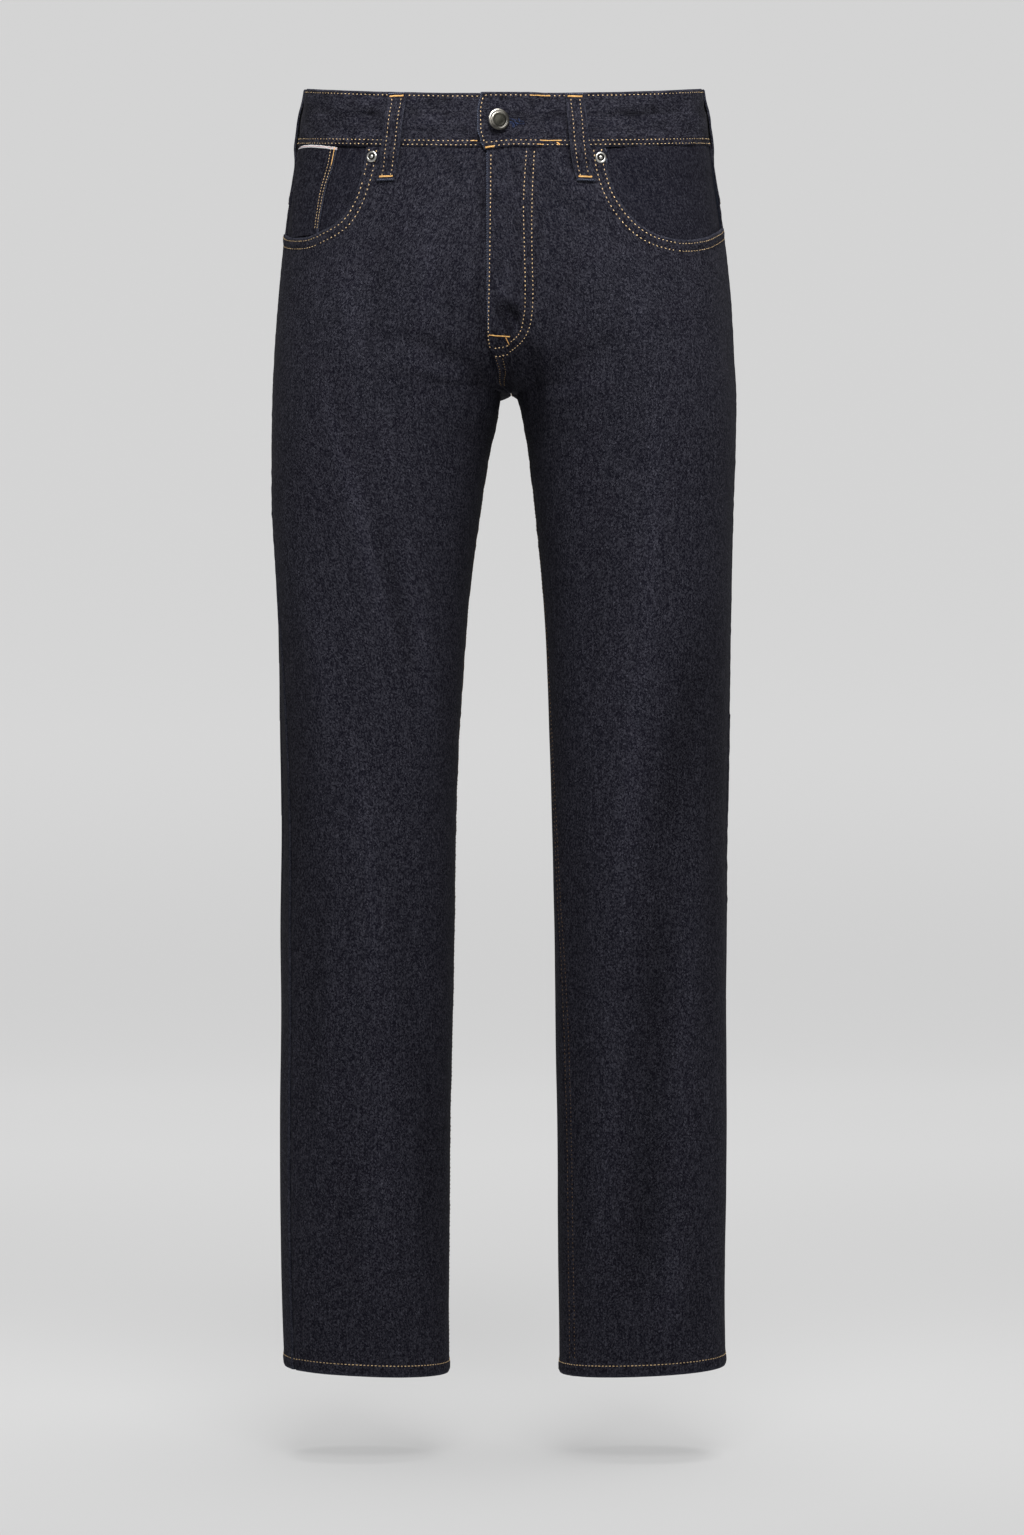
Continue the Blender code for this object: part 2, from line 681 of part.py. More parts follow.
# ---------------------------------------------------------------- metal pieces
def turned(name, profile, segments, spot, lift, finish=NICKEL):
    """A profile of (radius, height) points spun round, set on the cloth at a spot."""
    bm = bmesh.new()
    points = [bm.verts.new((r * MM, 0, h * MM)) for r, h in profile]
    edges = [bm.edges.new(pair) for pair in zip(points, points[1:])]
    bmesh.ops.spin(
        bm, geom=points + edges, cent=(0, 0, 0), axis=(0, 0, 1),
        angle=2 * math.pi, steps=segments, use_merge=True,
    )
    bmesh.ops.remove_doubles(bm, verts=bm.verts, dist=0.01 * MM)
    side = 1 if spot.x > 0 else -1
    angle = angle_at(side, abs(spot.x), spot.drop)
    base = skin(side, angle, spot.drop, lift)
    normal = (skin(side, angle, spot.drop, lift + 1) - base).normalized()
    turn = Vector((0, 0, 1)).rotation_difference(normal).to_matrix().to_4x4()
    bmesh.ops.transform(bm, matrix=Matrix.Translation(base * MM) @ turn, verts=bm.verts)
    return new_object(name, bm, finish)


BUTTON_PROFILE = [
    (0, 0), (5.0, 0), (7.6, 1.0), (8.5, 1.9), (8.3, 3.0), (7.2, 3.5), (6.1, 3.0),
    (5.6, 2.6), (5.3, 3.1), (4.6, 3.2), (0, 3.2),
]
TACK_PROFILE = [(0, 0), (4.8, 0), (4.8, 0.8), (0, 1.2)]
RIVET_PROFILE = [
    (0, 0), (4.4, 0), (4.7, 0.5), (4.2, 1.2), (3.2, 1.1), (2.9, 0.7), (2.0, 0.7),
    (1.6, 1.5), (0, 1.8),
]


def metal():
    turned("button", BUTTON_PROFILE, 28, BUTTON, BAND_PROUD + BAND_LAP + METAL_GAP)
    turned("button_back", TACK_PROFILE, 16, BUTTON, BAND_PROUD - BAND_WALL - TACK_ROOM)
    for word, spot in RIVETS.items():
        turned("rivet_" + word, RIVET_PROFILE, 20, spot, METAL_GAP)
        turned("rivet_back_" + word, TACK_PROFILE, 12, spot, INSIDE - CLOTH - TACK_ROOM)


# ---------------------------------------------------------------- the whole garment
def clear_scene():
    for old in list(bpy.data.objects):
        bpy.data.objects.remove(old)


def build():
    clear_scene()
    for side, word in ((1, "left"), (-1, "right")):
        front_panel(side, "front_" + word)
        back_panel(side, "back_" + word)
        yoke(side, "yoke_" + word)
        facing(side, "pocket_facing_" + word)
        back_pocket(side, "back_pocket_" + word)
        hem(side, "hem_" + word)
    waistband("waistband")
    coin_pocket("coin_pocket")
    for loop in LOOPS:
        belt_loop(loop)
    metal()


build()
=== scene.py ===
"""Straight leg jeans in raw indigo denim, in the hollow form they keep when worn.

Lengths are millimetres until a mesh is made. A height is a drop below the waist's top edge at
the side seams. +X is the wearer's left, -Y the front.
"""

import math
import random
from collections import namedtuple
from functools import lru_cache

import bmesh
import bpy
from mathutils import Matrix, Vector, noise


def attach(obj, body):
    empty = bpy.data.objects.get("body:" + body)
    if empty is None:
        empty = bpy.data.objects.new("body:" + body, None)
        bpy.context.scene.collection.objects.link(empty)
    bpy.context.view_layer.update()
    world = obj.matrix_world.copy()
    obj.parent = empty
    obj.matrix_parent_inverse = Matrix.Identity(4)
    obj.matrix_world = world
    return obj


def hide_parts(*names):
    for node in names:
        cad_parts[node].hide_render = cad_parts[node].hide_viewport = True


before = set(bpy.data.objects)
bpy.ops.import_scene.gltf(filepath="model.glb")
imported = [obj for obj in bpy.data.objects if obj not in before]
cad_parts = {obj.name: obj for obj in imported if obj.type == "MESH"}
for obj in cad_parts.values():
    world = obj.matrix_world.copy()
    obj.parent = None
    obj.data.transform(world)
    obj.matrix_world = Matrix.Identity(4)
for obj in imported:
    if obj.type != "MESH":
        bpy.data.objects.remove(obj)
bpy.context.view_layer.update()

# ================================================================ leg panels
# The two fronts and two backs, cut from one layer of heavy indigo twill. Worn, they keep a
# hollow form: one trunk that parts into two legs. The tables give that form by sections.
MM = 0.001
WAIST_TOP = 23.0     # height of the waist's top edge above the origin
FORK = 253.6         # drop where the trunk parts into two legs
SEAM_TUCK = 0.2      # each half passes the centre seam by this
FORK_X = 6.5         # and where that is across
LEG_END = 1066.5
HEM_TILT = 3.0       # a hem is this much lower at its inner side
OVALNESS = 2.25      # the power of the sections' curve: 2 is an ellipse
SPLIT_FROM = 60.0    # one section turns into two between these drops
SPLIT_TO = 300.0
FRONT_VALLEY = 8.0   # the higher, the later the halves part
BACK_VALLEY = 6.0
CROTCH_ROUND = 0.6
INNER_FLAT_FROM = 2.2    # angle where a leg's flattened inner side begins
CLOTH = 1.2          # thickness
GAP = 0.3            # between two pieces at a seam
INSIDE = -CLOTH - 0.5    # the lift of what lies against the cloth's inner face

SIDES = ((1, "left"), (-1, "right"))

Form = namedtuple("Form", "drop left right front back")
FORM = [
    Form(-20, 162.5, 162.5, -105.0, 107.0),
    Form(0, 165.0, 165.0, -108.0, 110.0),
    Form(22, 168.0, 168.0, -110.8, 114.0),
    Form(45, 171.0, 171.0, -113.3, 118.0),
    Form(90, 178.7, 178.3, -117.3, 128.0),
    Form(130, 184.0, 183.8, -118.8, 135.0),
    Form(165, 187.7, 187.4, -117.8, 138.0),
    Form(200, 189.9, 190.2, -115.0, 135.0),
    Form(228, 191.5, 191.8, -111.0, 127.0),
    Form(253.6, 192.9, 192.9, -106.3, 116.5),
    Form(300, 192.9, 193.3, -100.0, 107.0),
    Form(350, 191.2, 192.9, -94.0, 100.0),
    Form(400, 189.5, 190.6, -88.5, 94.0),
    Form(475, 188.5, 188.4, -82.0, 87.0),
    Form(550, 187.5, 187.0, -77.0, 82.5),
    Form(625, 186.3, 186.3, -72.5, 79.0),
    Form(700, 185.8, 186.8, -68.5, 76.0),
    Form(775, 185.5, 186.3, -65.0, 73.5),
    Form(850, 185.8, 186.9, -61.5, 71.5),
    Form(926, 185.6, 187.0, -58.0, 69.5),
    Form(1000, 184.8, 186.2, -54.8, 67.0),
    Form(1075, 184.6, 183.0, -51.8, 64.5),
]
Inner = namedtuple("Inner", "drop left right")
INNER = [
    Inner(253.6, 10.4, 3.0),
    Inner(275, 16.0, 6.2),
    Inner(300, 20.0, 11.7),
    Inner(325, 23.4, 16.2),
    Inner(350, 26.2, 19.6),
    Inner(400, 30.9, 26.6),
    Inner(450, 34.2, 31.5),
    Inner(525, 37.2, 36.7),
    Inner(600, 40.0, 39.8),
    Inner(700, 41.7, 41.8),
    Inner(800, 43.2, 43.2),
    Inner(926, 45.0, 45.6),
    Inner(1075, 46.2, 46.0),
]
Twist = namedtuple("Twist", "drop side_left side_right in_left in_right")
TWIST = [
    Twist(-20, 4, 4, 0, 0),
    Twist(253.6, 4, 4, 0, 0),
    Twist(350, 3, 8, 3, 0),
    Twist(450, 0, 20, 8, -4),
    Twist(560, -5, 28, 14, -8),
    Twist(670, -9, 30, 20, -12),
    Twist(800, -12, 31, 27, -14),
    Twist(1075, -12, 30, 27, -14),
]

# Folds and hollows that wearing has left: a line through three points of x and drop on the
# front or the back, how wide it is to either side, and how far it rises or sinks. Their rise
# is also painted into the cloth's colour as shade and light.
Fold = namedtuple("Fold", "x1 drop1 x2 drop2 x3 drop3 width rise")
FOLD_DEPTH = 1.45    # millimetres for a rise of 1
FOLDS = {
    "front": [Fold(*row) for row in (
        (-146, 262, -117, 372, -94, 468, 9, 2.4),
        (-106, 364, -88, 430, -70, 515, 8, -2.1),
        (-80, 380, -66, 470, -58, 560, 9, 1.4),
        (-163, 400, -152, 480, -142, 560, 11, 1.4),
        (-138, 246, -129, 300, -122, 344, 6, -1.2),
        (-113, 596, -109, 680, -106, 770, 7, 1.8),
        (-126, 540, -118, 600, -121, 660, 9, 1.0),
        (-150, 640, -157, 760, -160, 880, 10, -1.5),
        (-86, 640, -80, 750, -78, 880, 8, -0.9),
        (-64, 760, -62, 880, -60, 1000, 10, -1.4),
        (-104, 800, -102, 900, -106, 1010, 12, 1.1),
        (-134, 880, -130, 960, -126, 1040, 11, -0.9),
        (124, 246, 120, 400, 113, 505, 9, 2.0),
        (112, 480, 101, 590, 90, 725, 10, 2.0),
        (162, 450, 141, 565, 127, 645, 16, -3.0),
        (130, 620, 124, 753, 116, 885, 17, -2.8),
        (120, 860, 114, 930, 104, 1015, 16, -2.6),
        (166, 590, 152, 760, 147, 930, 11, 1.6),
        (143, 930, 139, 990, 134, 1044, 10, 1.9),
        (62, 540, 60, 700, 63, 860, 8, -0.9),
        (84, 330, 76, 430, 74, 530, 10, -1.0),
        (88, 760, 84, 860, 78, 970, 9, 1.3),
        (164, 960, 160, 1010, 162, 1050, 8, -1.0),
        (-58, 104, -61, 160, -63, 222, 9, 1.3),
        (-130, 160, -126, 200, -118, 246, 9, 1.2),
        (-94, 118, -100, 170, -104, 232, 10, -1.1),
        (-137, 101, -129, 106, -121, 99, 3, -1.8),
        (46, 98, 60, 119, 84, 131, 5, -1.4),
        (50, 84, 70, 101, 92, 108, 6, 1.1),
        (62, 124, 74, 150, 78, 182, 9, 1.0),
        (108, 160, 112, 200, 116, 236, 10, 1.0),
        (2, 188, 8, 196, 15, 208, 3, -3.4),
        (-8, 196, 0, 200, 6, 208, 3, -2.4),
        (-6, 176, 4, 186, 14, 191, 4, 2.2),
        (-4, 150, 2, 158, 10, 160, 4, -1.6),
        (-7, 96, -1, 102, 3, 112, 4, 1.8),
        (4, 70, 8, 84, 6, 96, 4, -1.8),
        (-19, 150, -20, 190, -19, 232, 3.5, -2.6),
        (-20, 66, -18, 105, -18, 152, 3.0, -2.0),
        (27, 96, 27, 150, 28, 200, 3.5, -1.2),
        (-22, 230, -20, 250, -24, 272, 6, -1.6),
        (22, 224, 27, 250, 26, 300, 5, -2.4),
        (-24, 240, -50, 228, -88, 214, 6, -1.6),
        (-28, 254, -58, 244, -96, 236, 6, 1.3),
        (34, 246, 60, 232, 100, 218, 8, -1.3),
        (34, 268, 64, 258, 104, 246, 8, 1.2),
        (-30, 214, -46, 188, -52, 160, 6, -1.2),
        (36, 208, 50, 184, 56, 156, 6, -1.2),
        # Broad sinks down the legs' outer sides, put here mainly for the painted shade they
        # give.
        (-176, 440, -178, 600, -176, 790, 22, -2.0),
        (176, 430, 172, 600, 168, 800, 20, -2.0),
        (-46, 70, -40, 84, -30, 88, 6, -1.2),
        (32, 72, 38, 92, 36, 112, 5, -1.4),
    )],
    "back": [Fold(*row) for row in (
        (-22, 226, -60, 250, -120, 262, 7, -2.0),
        (-24, 246, -70, 272, -140, 280, 8, -1.8),
        (-36, 268, -84, 296, -150, 300, 9, 1.4),
        (22, 228, 62, 254, 124, 268, 7, -2.0),
        (26, 250, 74, 280, 146, 290, 8, -1.6),
        (40, 276, 90, 304, 152, 306, 9, 1.3),
        (-58, 500, -100, 520, -152, 508, 7, -2.2),
        (-62, 530, -104, 548, -150, 540, 8, 1.5),
        (-70, 566, -110, 578, -158, 560, 8, -1.8),
        (-74, 610, -112, 616, -146, 606, 9, -1.1),
        (58, 506, 98, 528, 148, 520, 7, -2.0),
        (64, 540, 104, 556, 152, 548, 8, 1.4),
        (70, 574, 112, 590, 160, 578, 8, -1.9),
        (76, 622, 116, 630, 148, 618, 9, -1.0),
        (-140, 330, -122, 400, -112, 470, 11, 1.8),
        (138, 322, 124, 396, 110, 468, 11, 1.7),
        (-96, 660, -104, 780, -100, 930, 12, 1.6),
        (-140, 700, -134, 820, -138, 960, 11, -1.7),
        (98, 670, 106, 790, 102, 940, 12, 1.6),
        (142, 690, 136, 830, 140, 980, 11, -1.6),
        (-70, 860, -76, 950, -74, 1040, 10, -1.2),
        (72, 850, 78, 940, 76, 1040, 10, -1.2),
        (-100, 118, -98, 160, -104, 200, 16, 0.9),
        (98, 118, 96, 160, 102, 200, 16, 0.9),
    )],
}


def smooth_step(value, start, end):
    way = min(max((value - start) / (end - start), 0), 1)
    return way * way * (3 - 2 * way)


def bell(value, width):
    return math.exp(-(value / width) ** 2)


@lru_cache(maxsize=None)
def read(table_name, drop):
    """A row of a table at any drop, on a smooth curve through its rows."""
    table = {"form": FORM, "inner": INNER, "twist": TWIST}[table_name]
    drop = min(max(drop, table[0].drop), table[-1].drop)
    k = 0
    while k < len(table) - 2 and drop > table[k + 1].drop:
        k += 1
    low, high = table[k], table[k + 1]
    before, after = table[max(k - 1, 0)], table[min(k + 2, len(table) - 1)]
    step = high.drop - low.drop
    way = (drop - low.drop) / step
    values = [drop]
    for a, b, c, d in list(zip(before, low, high, after))[1:]:
        slope_low = (c - a) / (high.drop - before.drop) * step
        slope_high = (d - b) / (after.drop - low.drop) * step
        values.append(
            b * (2 * way**3 - 3 * way**2 + 1) + slope_low * (way**3 - 2 * way**2 + way)
            + c * (3 * way**2 - 2 * way**3) + slope_high * (way**3 - way**2)
        )
    return type(low)(*values)


Oval = namedtuple(
    "Oval", "outer valley centre middle depth reach_front reach_back inner_flat"
)


def reach_to(valley_offset, share):
    return valley_offset / (1 - share**OVALNESS) ** (1 / OVALNESS)


@lru_cache(maxsize=None)
def oval(side, drop):
    """The section of one half. Its x runs out from the body's middle on either side."""
    form = read("form", drop)
    outer = form.left if side > 0 else form.right
    inner = read("inner", max(drop, FORK))
    inner = inner.left if side > 0 else inner.right
    middle = (form.front + form.back) / 2
    depth = (form.back - form.front) / 2
    centre = smooth_step(drop, SPLIT_FROM, SPLIT_TO) * (outer + inner) / 2
    way = min(max(drop, 0) / FORK, 1)
    valley = side * FORK_X * way**2 - SEAM_TUCK
    if drop >= FORK:
        rounding = 1 - min((drop - FORK) / CROTCH_ROUND, 1)
        edge = valley + (inner - valley) * math.sqrt(1 - rounding**2)
        soft = valley + (inner - valley) * smooth_step(drop, FORK, SPLIT_TO)
        reach = centre - soft
        return Oval(outer, edge, centre, middle, depth, reach, reach, edge - soft)
    if drop <= SPLIT_FROM:
        return Oval(outer, valley, 0.0, middle, depth, outer, outer, 0.0)
    centre = max(centre, valley + 0.05)
    reach_front = reach_to(centre - valley, math.sqrt(1 - way**FRONT_VALLEY))
    reach_back = reach_to(centre - valley, math.sqrt(1 - way**BACK_VALLEY))
    return Oval(outer, valley, centre, middle, depth, reach_front, reach_back, 0.0)


def flat_point(side, angle, drop):
    """A point of a section: angle 0 is the outermost, a right angle the front."""
    o = oval(side, drop)
    if math.cos(angle) >= 0:
        width = o.outer - o.centre
    else:
        width = o.reach_front if math.sin(angle) >= 0 else o.reach_back
    across = abs(math.cos(angle) / width) ** OVALNESS
    along = abs(math.sin(angle) / o.depth) ** OVALNESS
    radius = (across + along) ** (-1 / OVALNESS)
    x = o.centre + radius * math.cos(angle)
    x += o.inner_flat * smooth_step(abs(angle), INNER_FLAT_FROM, math.pi)
    return side * x, o.middle - radius * math.sin(angle)


def angle_at(side, x, drop, front=True):
    """The angle where a half's section passes x, measured out from the body's middle."""
    o = oval(side, drop)
    reach = o.reach_front if front else o.reach_back
    width = o.outer - o.centre if x >= o.centre else reach
    share = min(abs(x - o.centre) / width, 1)
    depth = o.depth * (1 - share**OVALNESS) ** (1 / OVALNESS)
    angle = math.atan2(depth, x - o.centre)
    return angle if front else -angle


def height(drop):
    return WAIST_TOP - drop


def noise_at(*place):
    return noise.noise(Vector(place))


FOLD_STEPS = 10
FOLD_REACH = 2.4     # widths to either side in which a fold is felt


def fold_lines():
    """Each fold as short straight steps along its curve, sorted by face."""
    lines = {"front": [], "back": []}
    for face, f in ((face, fold) for face in FOLDS for fold in FOLDS[face]):
        points = []
        for k in range(FOLD_STEPS + 1):
            t = k / FOLD_STEPS
            a, b, c = (1 - t) * (1 - 2 * t), 4 * t * (1 - t), t * (2 * t - 1)
            x = a * f.x1 + b * f.x2 + c * f.x3
            drop = a * f.drop1 + b * f.drop2 + c * f.drop3
            points.append((x, drop, math.sin(math.pi * min(max(t, 0.02), 0.98)) ** 0.7))
        reach = FOLD_REACH * f.width
        xs, drops = [p[0] for p in points], [p[1] for p in points]
        box = min(xs) - reach, max(xs) + reach, min(drops) - reach, max(drops) + reach
        lines[face].append((box, points, f.width, f.rise))
    return lines


FOLD_LINES = fold_lines()


def fold_rise(x, y, drop, middle):
    """How far the folds move a point out."""
    rise = 0.0
    for box, points, width, most in FOLD_LINES["front" if y < middle else "back"]:
        if not (box[0] < x < box[1] and box[2] < drop < box[3]):
            continue
        nearest, fade = 1e9, 0.0
        for (x1, d1, f1), (x2, d2, f2) in zip(points, points[1:]):
            dx, dd = x2 - x1, d2 - d1
            t = ((x - x1) * dx + (drop - d1) * dd) / (dx * dx + dd * dd)
            t = min(max(t, 0), 1)
            far = (x - x1 - t * dx) ** 2 + (drop - d1 - t * dd) ** 2
            if far < nearest:
                nearest, fade = far, f1 + (f2 - f1) * t
        rise += FOLD_DEPTH * most * fade * math.exp(-nearest / width**2)
    return rise


WAVES = 0.95         # the cloth's long soft waves
RIPPLES = 0.2        # and its short ones


def relief(x, y, drop, middle):
    """The folds and the cloth's own unevenness."""
    below = smooth_step(drop, 50, 90)
    rise = WAVES * below * noise_at(x / 46, y / 46, drop / 130)
    rise += RIPPLES * below * noise_at(x / 12, y / 12, drop / 40 + 40)
    return rise + fold_rise(x, y, drop, middle)


NEAR_TURN = 0.01     # radians and a drop over which the form's slope is taken
NEAR_FALL = 0.5


@lru_cache(maxsize=None)
def skin(side, angle, drop):
    """A point of the cloth's outer face and its outward normal."""
    x, y = flat_point(side, angle, drop)
    ahead = Vector((*flat_point(side, angle + NEAR_TURN, drop), 0))
    behind = Vector((*flat_point(side, angle - NEAR_TURN, drop), 0))
    above = Vector((*flat_point(side, angle, drop - NEAR_FALL), NEAR_FALL))
    below = Vector((*flat_point(side, angle, drop + NEAR_FALL), -NEAR_FALL))
    normal = ((ahead - behind).cross(above - below) * -side).normalized()
    rise = relief(x, y, drop, oval(side, drop).middle)
    return Vector((x, y, height(drop))) + normal * rise, normal


# The fly: the left front's folded edge lies over the right front, down to the crotch.
FLY_EDGE_X = -14.0
FLY_LAP = 12.0
FLY_END = 214.0      # drop of the fly's foot
LAP_END = 236.0
SEAT_LAP = 2.8       # what stays lapped from there to the fork
FLY_FLAT = 23.5      # x where the fly's double cloth ends
FLY_RAMP = 4.0
FLY_PROUD = 2.8
ROW_STEPS = 48       # steps in which a row across a panel is measured
HOOK_START = 200.0   # the panels run out to the crotch between these drops
HOOK_FINISH = 300.0
HOOK_POWER = 8.0


def sweep(side, start, end):
    return [(side, start + (end - start) * k / ROW_STEPS) for k in range(ROW_STEPS + 1)]


def fly_edge(drop):
    """X of the left front's free edge, which stays lapped until just above the fork."""
    way = min(max((drop - FLY_END) / (FORK - FLY_END), 0), 1)
    share = 0.45 * smooth_step(way, 0, 0.85) + 0.55 * way**26
    return FLY_EDGE_X + (FORK_X - FLY_EDGE_X) * share


def fly_lap(drop):
    lap = (FLY_LAP - SEAT_LAP) * (1 - smooth_step(drop, FLY_END, LAP_END))
    return lap + (SEAT_LAP + GAP) * (1 - smooth_step(drop, FORK - 6, FORK - 0.2)) - GAP


def front_sweep(side, drop):
    """(side, angle) pairs across a front, from its inner edge to the side seam."""
    twist = read("twist", drop)
    seam = math.radians(twist.side_left if side > 0 else twist.side_right)
    if drop >= FORK:
        inseam = math.pi - math.radians(twist.in_left if side > 0 else twist.in_right)
        return sweep(side, inseam, seam)
    edge = fly_edge(drop)
    if side < 0:
        return sweep(-1, angle_at(-1, -edge - fly_lap(drop), drop), seam)
    valley = oval(-1, drop).valley
    start = angle_at(-1, max(-edge, valley + 0.01), drop)
    over = sweep(-1, start, angle_at(-1, valley, drop))[::12]
    return over + sweep(1, angle_at(1, oval(1, drop).valley, drop), seam)


def back_sweep(side, drop):
    twist = read("twist", drop)
    seam = math.radians(twist.side_left if side > 0 else twist.side_right)
    if drop >= FORK:
        inseam = math.pi + math.radians(twist.in_left if side > 0 else twist.in_right)
        return sweep(side, -inseam, seam)
    return sweep(side, angle_at(side, oval(side, drop).valley, drop, front=False), seam)


SWEEPS = {"front": front_sweep, "back": back_sweep}


@lru_cache(maxsize=None)
def measured_row(panel, side, drop):
    """A panel's row with the cloth's length measured along it."""
    angles = SWEEPS[panel](side, drop)
    points = [flat_point(s, a, drop) for s, a in angles]
    lengths = [0.0]
    for p, q in zip(points, points[1:]):
        lengths.append(lengths[-1] + math.dist(p, q))
    return angles, points, lengths


def row_width(panel, side, drop):
    return measured_row(panel, side, drop)[2][-1]


@lru_cache(maxsize=None)
def even_width(panel, side, drop):
    """A panel's width without the crotch extension its inner edge runs out to."""
    if not HOOK_START < drop < HOOK_FINISH:
        return row_width(panel, side, drop)
    above = row_width(panel, side, HOOK_START)
    below = row_width(panel, side, HOOK_FINISH)
    return above + (below - above) * smooth_step(drop, HOOK_START, HOOK_FINISH)


def length_at(panel, side, share, drop):
    """Cloth from a panel's inner edge to a share: the extension is all near that edge."""
    width = row_width(panel, side, drop)
    even = even_width(panel, side, drop)
    return width - (1 - share) * even - (1 - share) ** HOOK_POWER * (width - even)


def at_length(panel, side, length, drop):
    """The bare cloth's point and normal, this much cloth away from the inner edge."""
    angles, _, lengths = measured_row(panel, side, drop)
    target = min(max(length, GAP / 2), lengths[-1] - GAP / 2)
    k = 0
    while k < len(lengths) - 2 and lengths[k + 1] < target:
        k += 1
    (half, start), (other, end) = angles[k], angles[k + 1]
    way = (target - lengths[k]) / max(lengths[k + 1] - lengths[k], 1e-6)
    if half != other:
        half, start, end = (half, start, start) if way < 0.5 else (other, end, end)
    return skin(half, start + (end - start) * way, drop)


def length_to_x(panel, side, x, drop):
    """Cloth from a panel's inner edge to where its row passes x."""
    _, points, lengths = measured_row(panel, side, drop)
    for k in range(len(points) - 1):
        if side * points[k][0] <= side * x <= side * points[k + 1][0]:
            way = (x - points[k][0]) / (points[k + 1][0] - points[k][0])
            return lengths[k] + way * (lengths[k + 1] - lengths[k])
    return lengths[-1] if side * x > 0 else 0.0


# The waistband's two edges and the yoke's lower edge, as drops.
FRONT_DIP = 0.15     # the edge falls by this share of the way to the front
FRONT_EASE = 0.00034
BACK_RISE = 0.105    # and rises by this to the back
BAND_HEIGHT = 42.0
BAND_TALLER = 4.5    # at the sides
EDGE_UP = 1.8        # the waistband's cloth reaches above the form by this
BAND_DEPTH = 112.0   # of the waist's opening, from its middle
YOKE_SIDE = 96.0
YOKE_CENTRE = 111.0


def waist_edge(y):
    if y > 0:
        return -BACK_RISE * y - EDGE_UP
    return -FRONT_DIP * y + FRONT_EASE * y * y - EDGE_UP


def band_seam(y):
    depth = min(abs(y) / BAND_DEPTH, 1)
    return waist_edge(y) + EDGE_UP + BAND_HEIGHT + BAND_TALLER * (1 - depth)


def yoke_seam(share):
    return YOKE_CENTRE + (YOKE_SIDE - YOKE_CENTRE) * share


@lru_cache(maxsize=None)
def seam_drop(panel, side, share):
    """Drop of the waistband's lower seam above a share of the way across a panel."""
    drop = 55.0
    for _ in range(3):
        length = length_at(panel, side, share, round(drop, 1))
        drop = band_seam(at_length(panel, side, length, round(drop, 1))[0].y)
    return drop + GAP


def hem_drop(side, x):
    """Drop of a leg's lower edge, which is tilted."""
    o = oval(side, LEG_END)
    return LEG_END + HEM_TILT * (o.centre - side * x) / (o.outer - o.centre)


def curve(corners, step):
    """Evenly spaced points on a smooth curve through corners in the flat cloth."""
    smooth = []
    for k in range(len(corners) - 1):
        a, b = corners[max(k - 1, 0)], corners[k]
        c, d = corners[k + 1], corners[min(k + 2, len(corners) - 1)]
        for t in (n / 12 for n in range(12)):
            smooth.append(tuple(
                0.5 * (2 * b[i] + (c[i] - a[i]) * t
                       + (2 * a[i] - 5 * b[i] + 4 * c[i] - d[i]) * t * t
                       + (3 * b[i] - a[i] - 3 * c[i] + d[i]) * t**3)
                for i in range(2)
            ))
    smooth.append(tuple(corners[-1]))
    far = [0.0]
    for p, q in zip(smooth, smooth[1:]):
        far.append(far[-1] + math.dist(p, q))
    count = max(round(far[-1] / step), 1)
    even, k = [], 0
    for n in range(count + 1):
        target = far[-1] * n / count
        while k < len(far) - 2 and far[k + 1] < target:
            k += 1
        t = (target - far[k]) / max(far[k + 1] - far[k], 1e-9)
        even.append(tuple(a + (b - a) * t for a, b in zip(smooth[k], smooth[k + 1])))
    return even


def distance_to(line, length, drop):
    """The distance from a point of the flat cloth to a line on it."""
    best = 1e9
    for (l1, d1), (l2, d2) in zip(line, line[1:]):
        dl, dd = l2 - l1, d2 - d1
        t = ((length - l1) * dl + (drop - d1) * dd) / max(dl * dl + dd * dd, 1e-9)
        t = min(max(t, 0), 1)
        best = min(best, (length - l1 - t * dl) ** 2 + (drop - d1 - t * dd) ** 2)
    return math.sqrt(best)


def beside(line, distance):
    """The line moved sideways in the flat cloth, to its right where distance is more."""
    moved = []
    for k, (length, drop) in enumerate(line):
        before, after = line[max(k - 1, 0)], line[min(k + 1, len(line) - 1)]
        along = Vector((after[0] - before[0], after[1] - before[1])).normalized()
        moved.append((length - along.y * distance, drop + along.x * distance))
    return moved


# The front pocket's curved opening, from its front corner to the side seam: x and drop.
SCOOP = {
    1: [(81.5, 58.0), (84.0, 78.0), (90.0, 97.5), (98.6, 111.5), (110.5, 124.0),
        (124.5, 131.5), (144.5, 134.3), (164.0, 130.0), (176.0, 122.5)],
    -1: [(-111.0, 56.0), (-114.3, 75.0), (-117.6, 88.8), (-123.9, 105.5),
         (-132.6, 118.0), (-147.0, 125.8), (-161.0, 129.6), (-173.0, 127.8),
         (-180.0, 123.8)],
}
SCOOP_AT_SEAM = {1: 114.5, -1: 119.0}
CELL = 4.2           # a cell of the cloth's mesh
FELL = 9.0           # width of a lapped seam with two rows of stitches
SEAM_PUCKER = 0.6    # height of the puckers along a sewn seam
DOUBLE = 0.5         # what the doubled cloth of a seam adds, seen from outside
ROW_1 = 1.8          # the rows' distances from the lapped edge
ROW_2 = 7.8
POCKET_ROW_1 = 3.3   # and from the pocket opening's edge
POCKET_ROW_2 = 9.6
HEM_ROW = 9.6        # the hem's one row, above the lower edge


@lru_cache(maxsize=None)
def scoop_line(side):
    """The opening's edge in the flat cloth, from the waistband's seam to the side seam."""
    corners = [(length_to_x("front", side, x, d), d) for x, d in SCOOP[side]]
    corners.append((row_width("front", side, SCOOP_AT_SEAM[side]), SCOOP_AT_SEAM[side]))
    line = curve(corners, CELL)
    first = line[0][0] / row_width("front", side, line[0][1])
    return [p for p in line if p[1] >= seam_drop("front", side, first)]


def rolled(distance, depth, over):
    """A sewn edge rolls in by a depth, over this distance from it."""
    return -depth * (1 - smooth_step(distance, 0, over)) if distance < over else 0.0


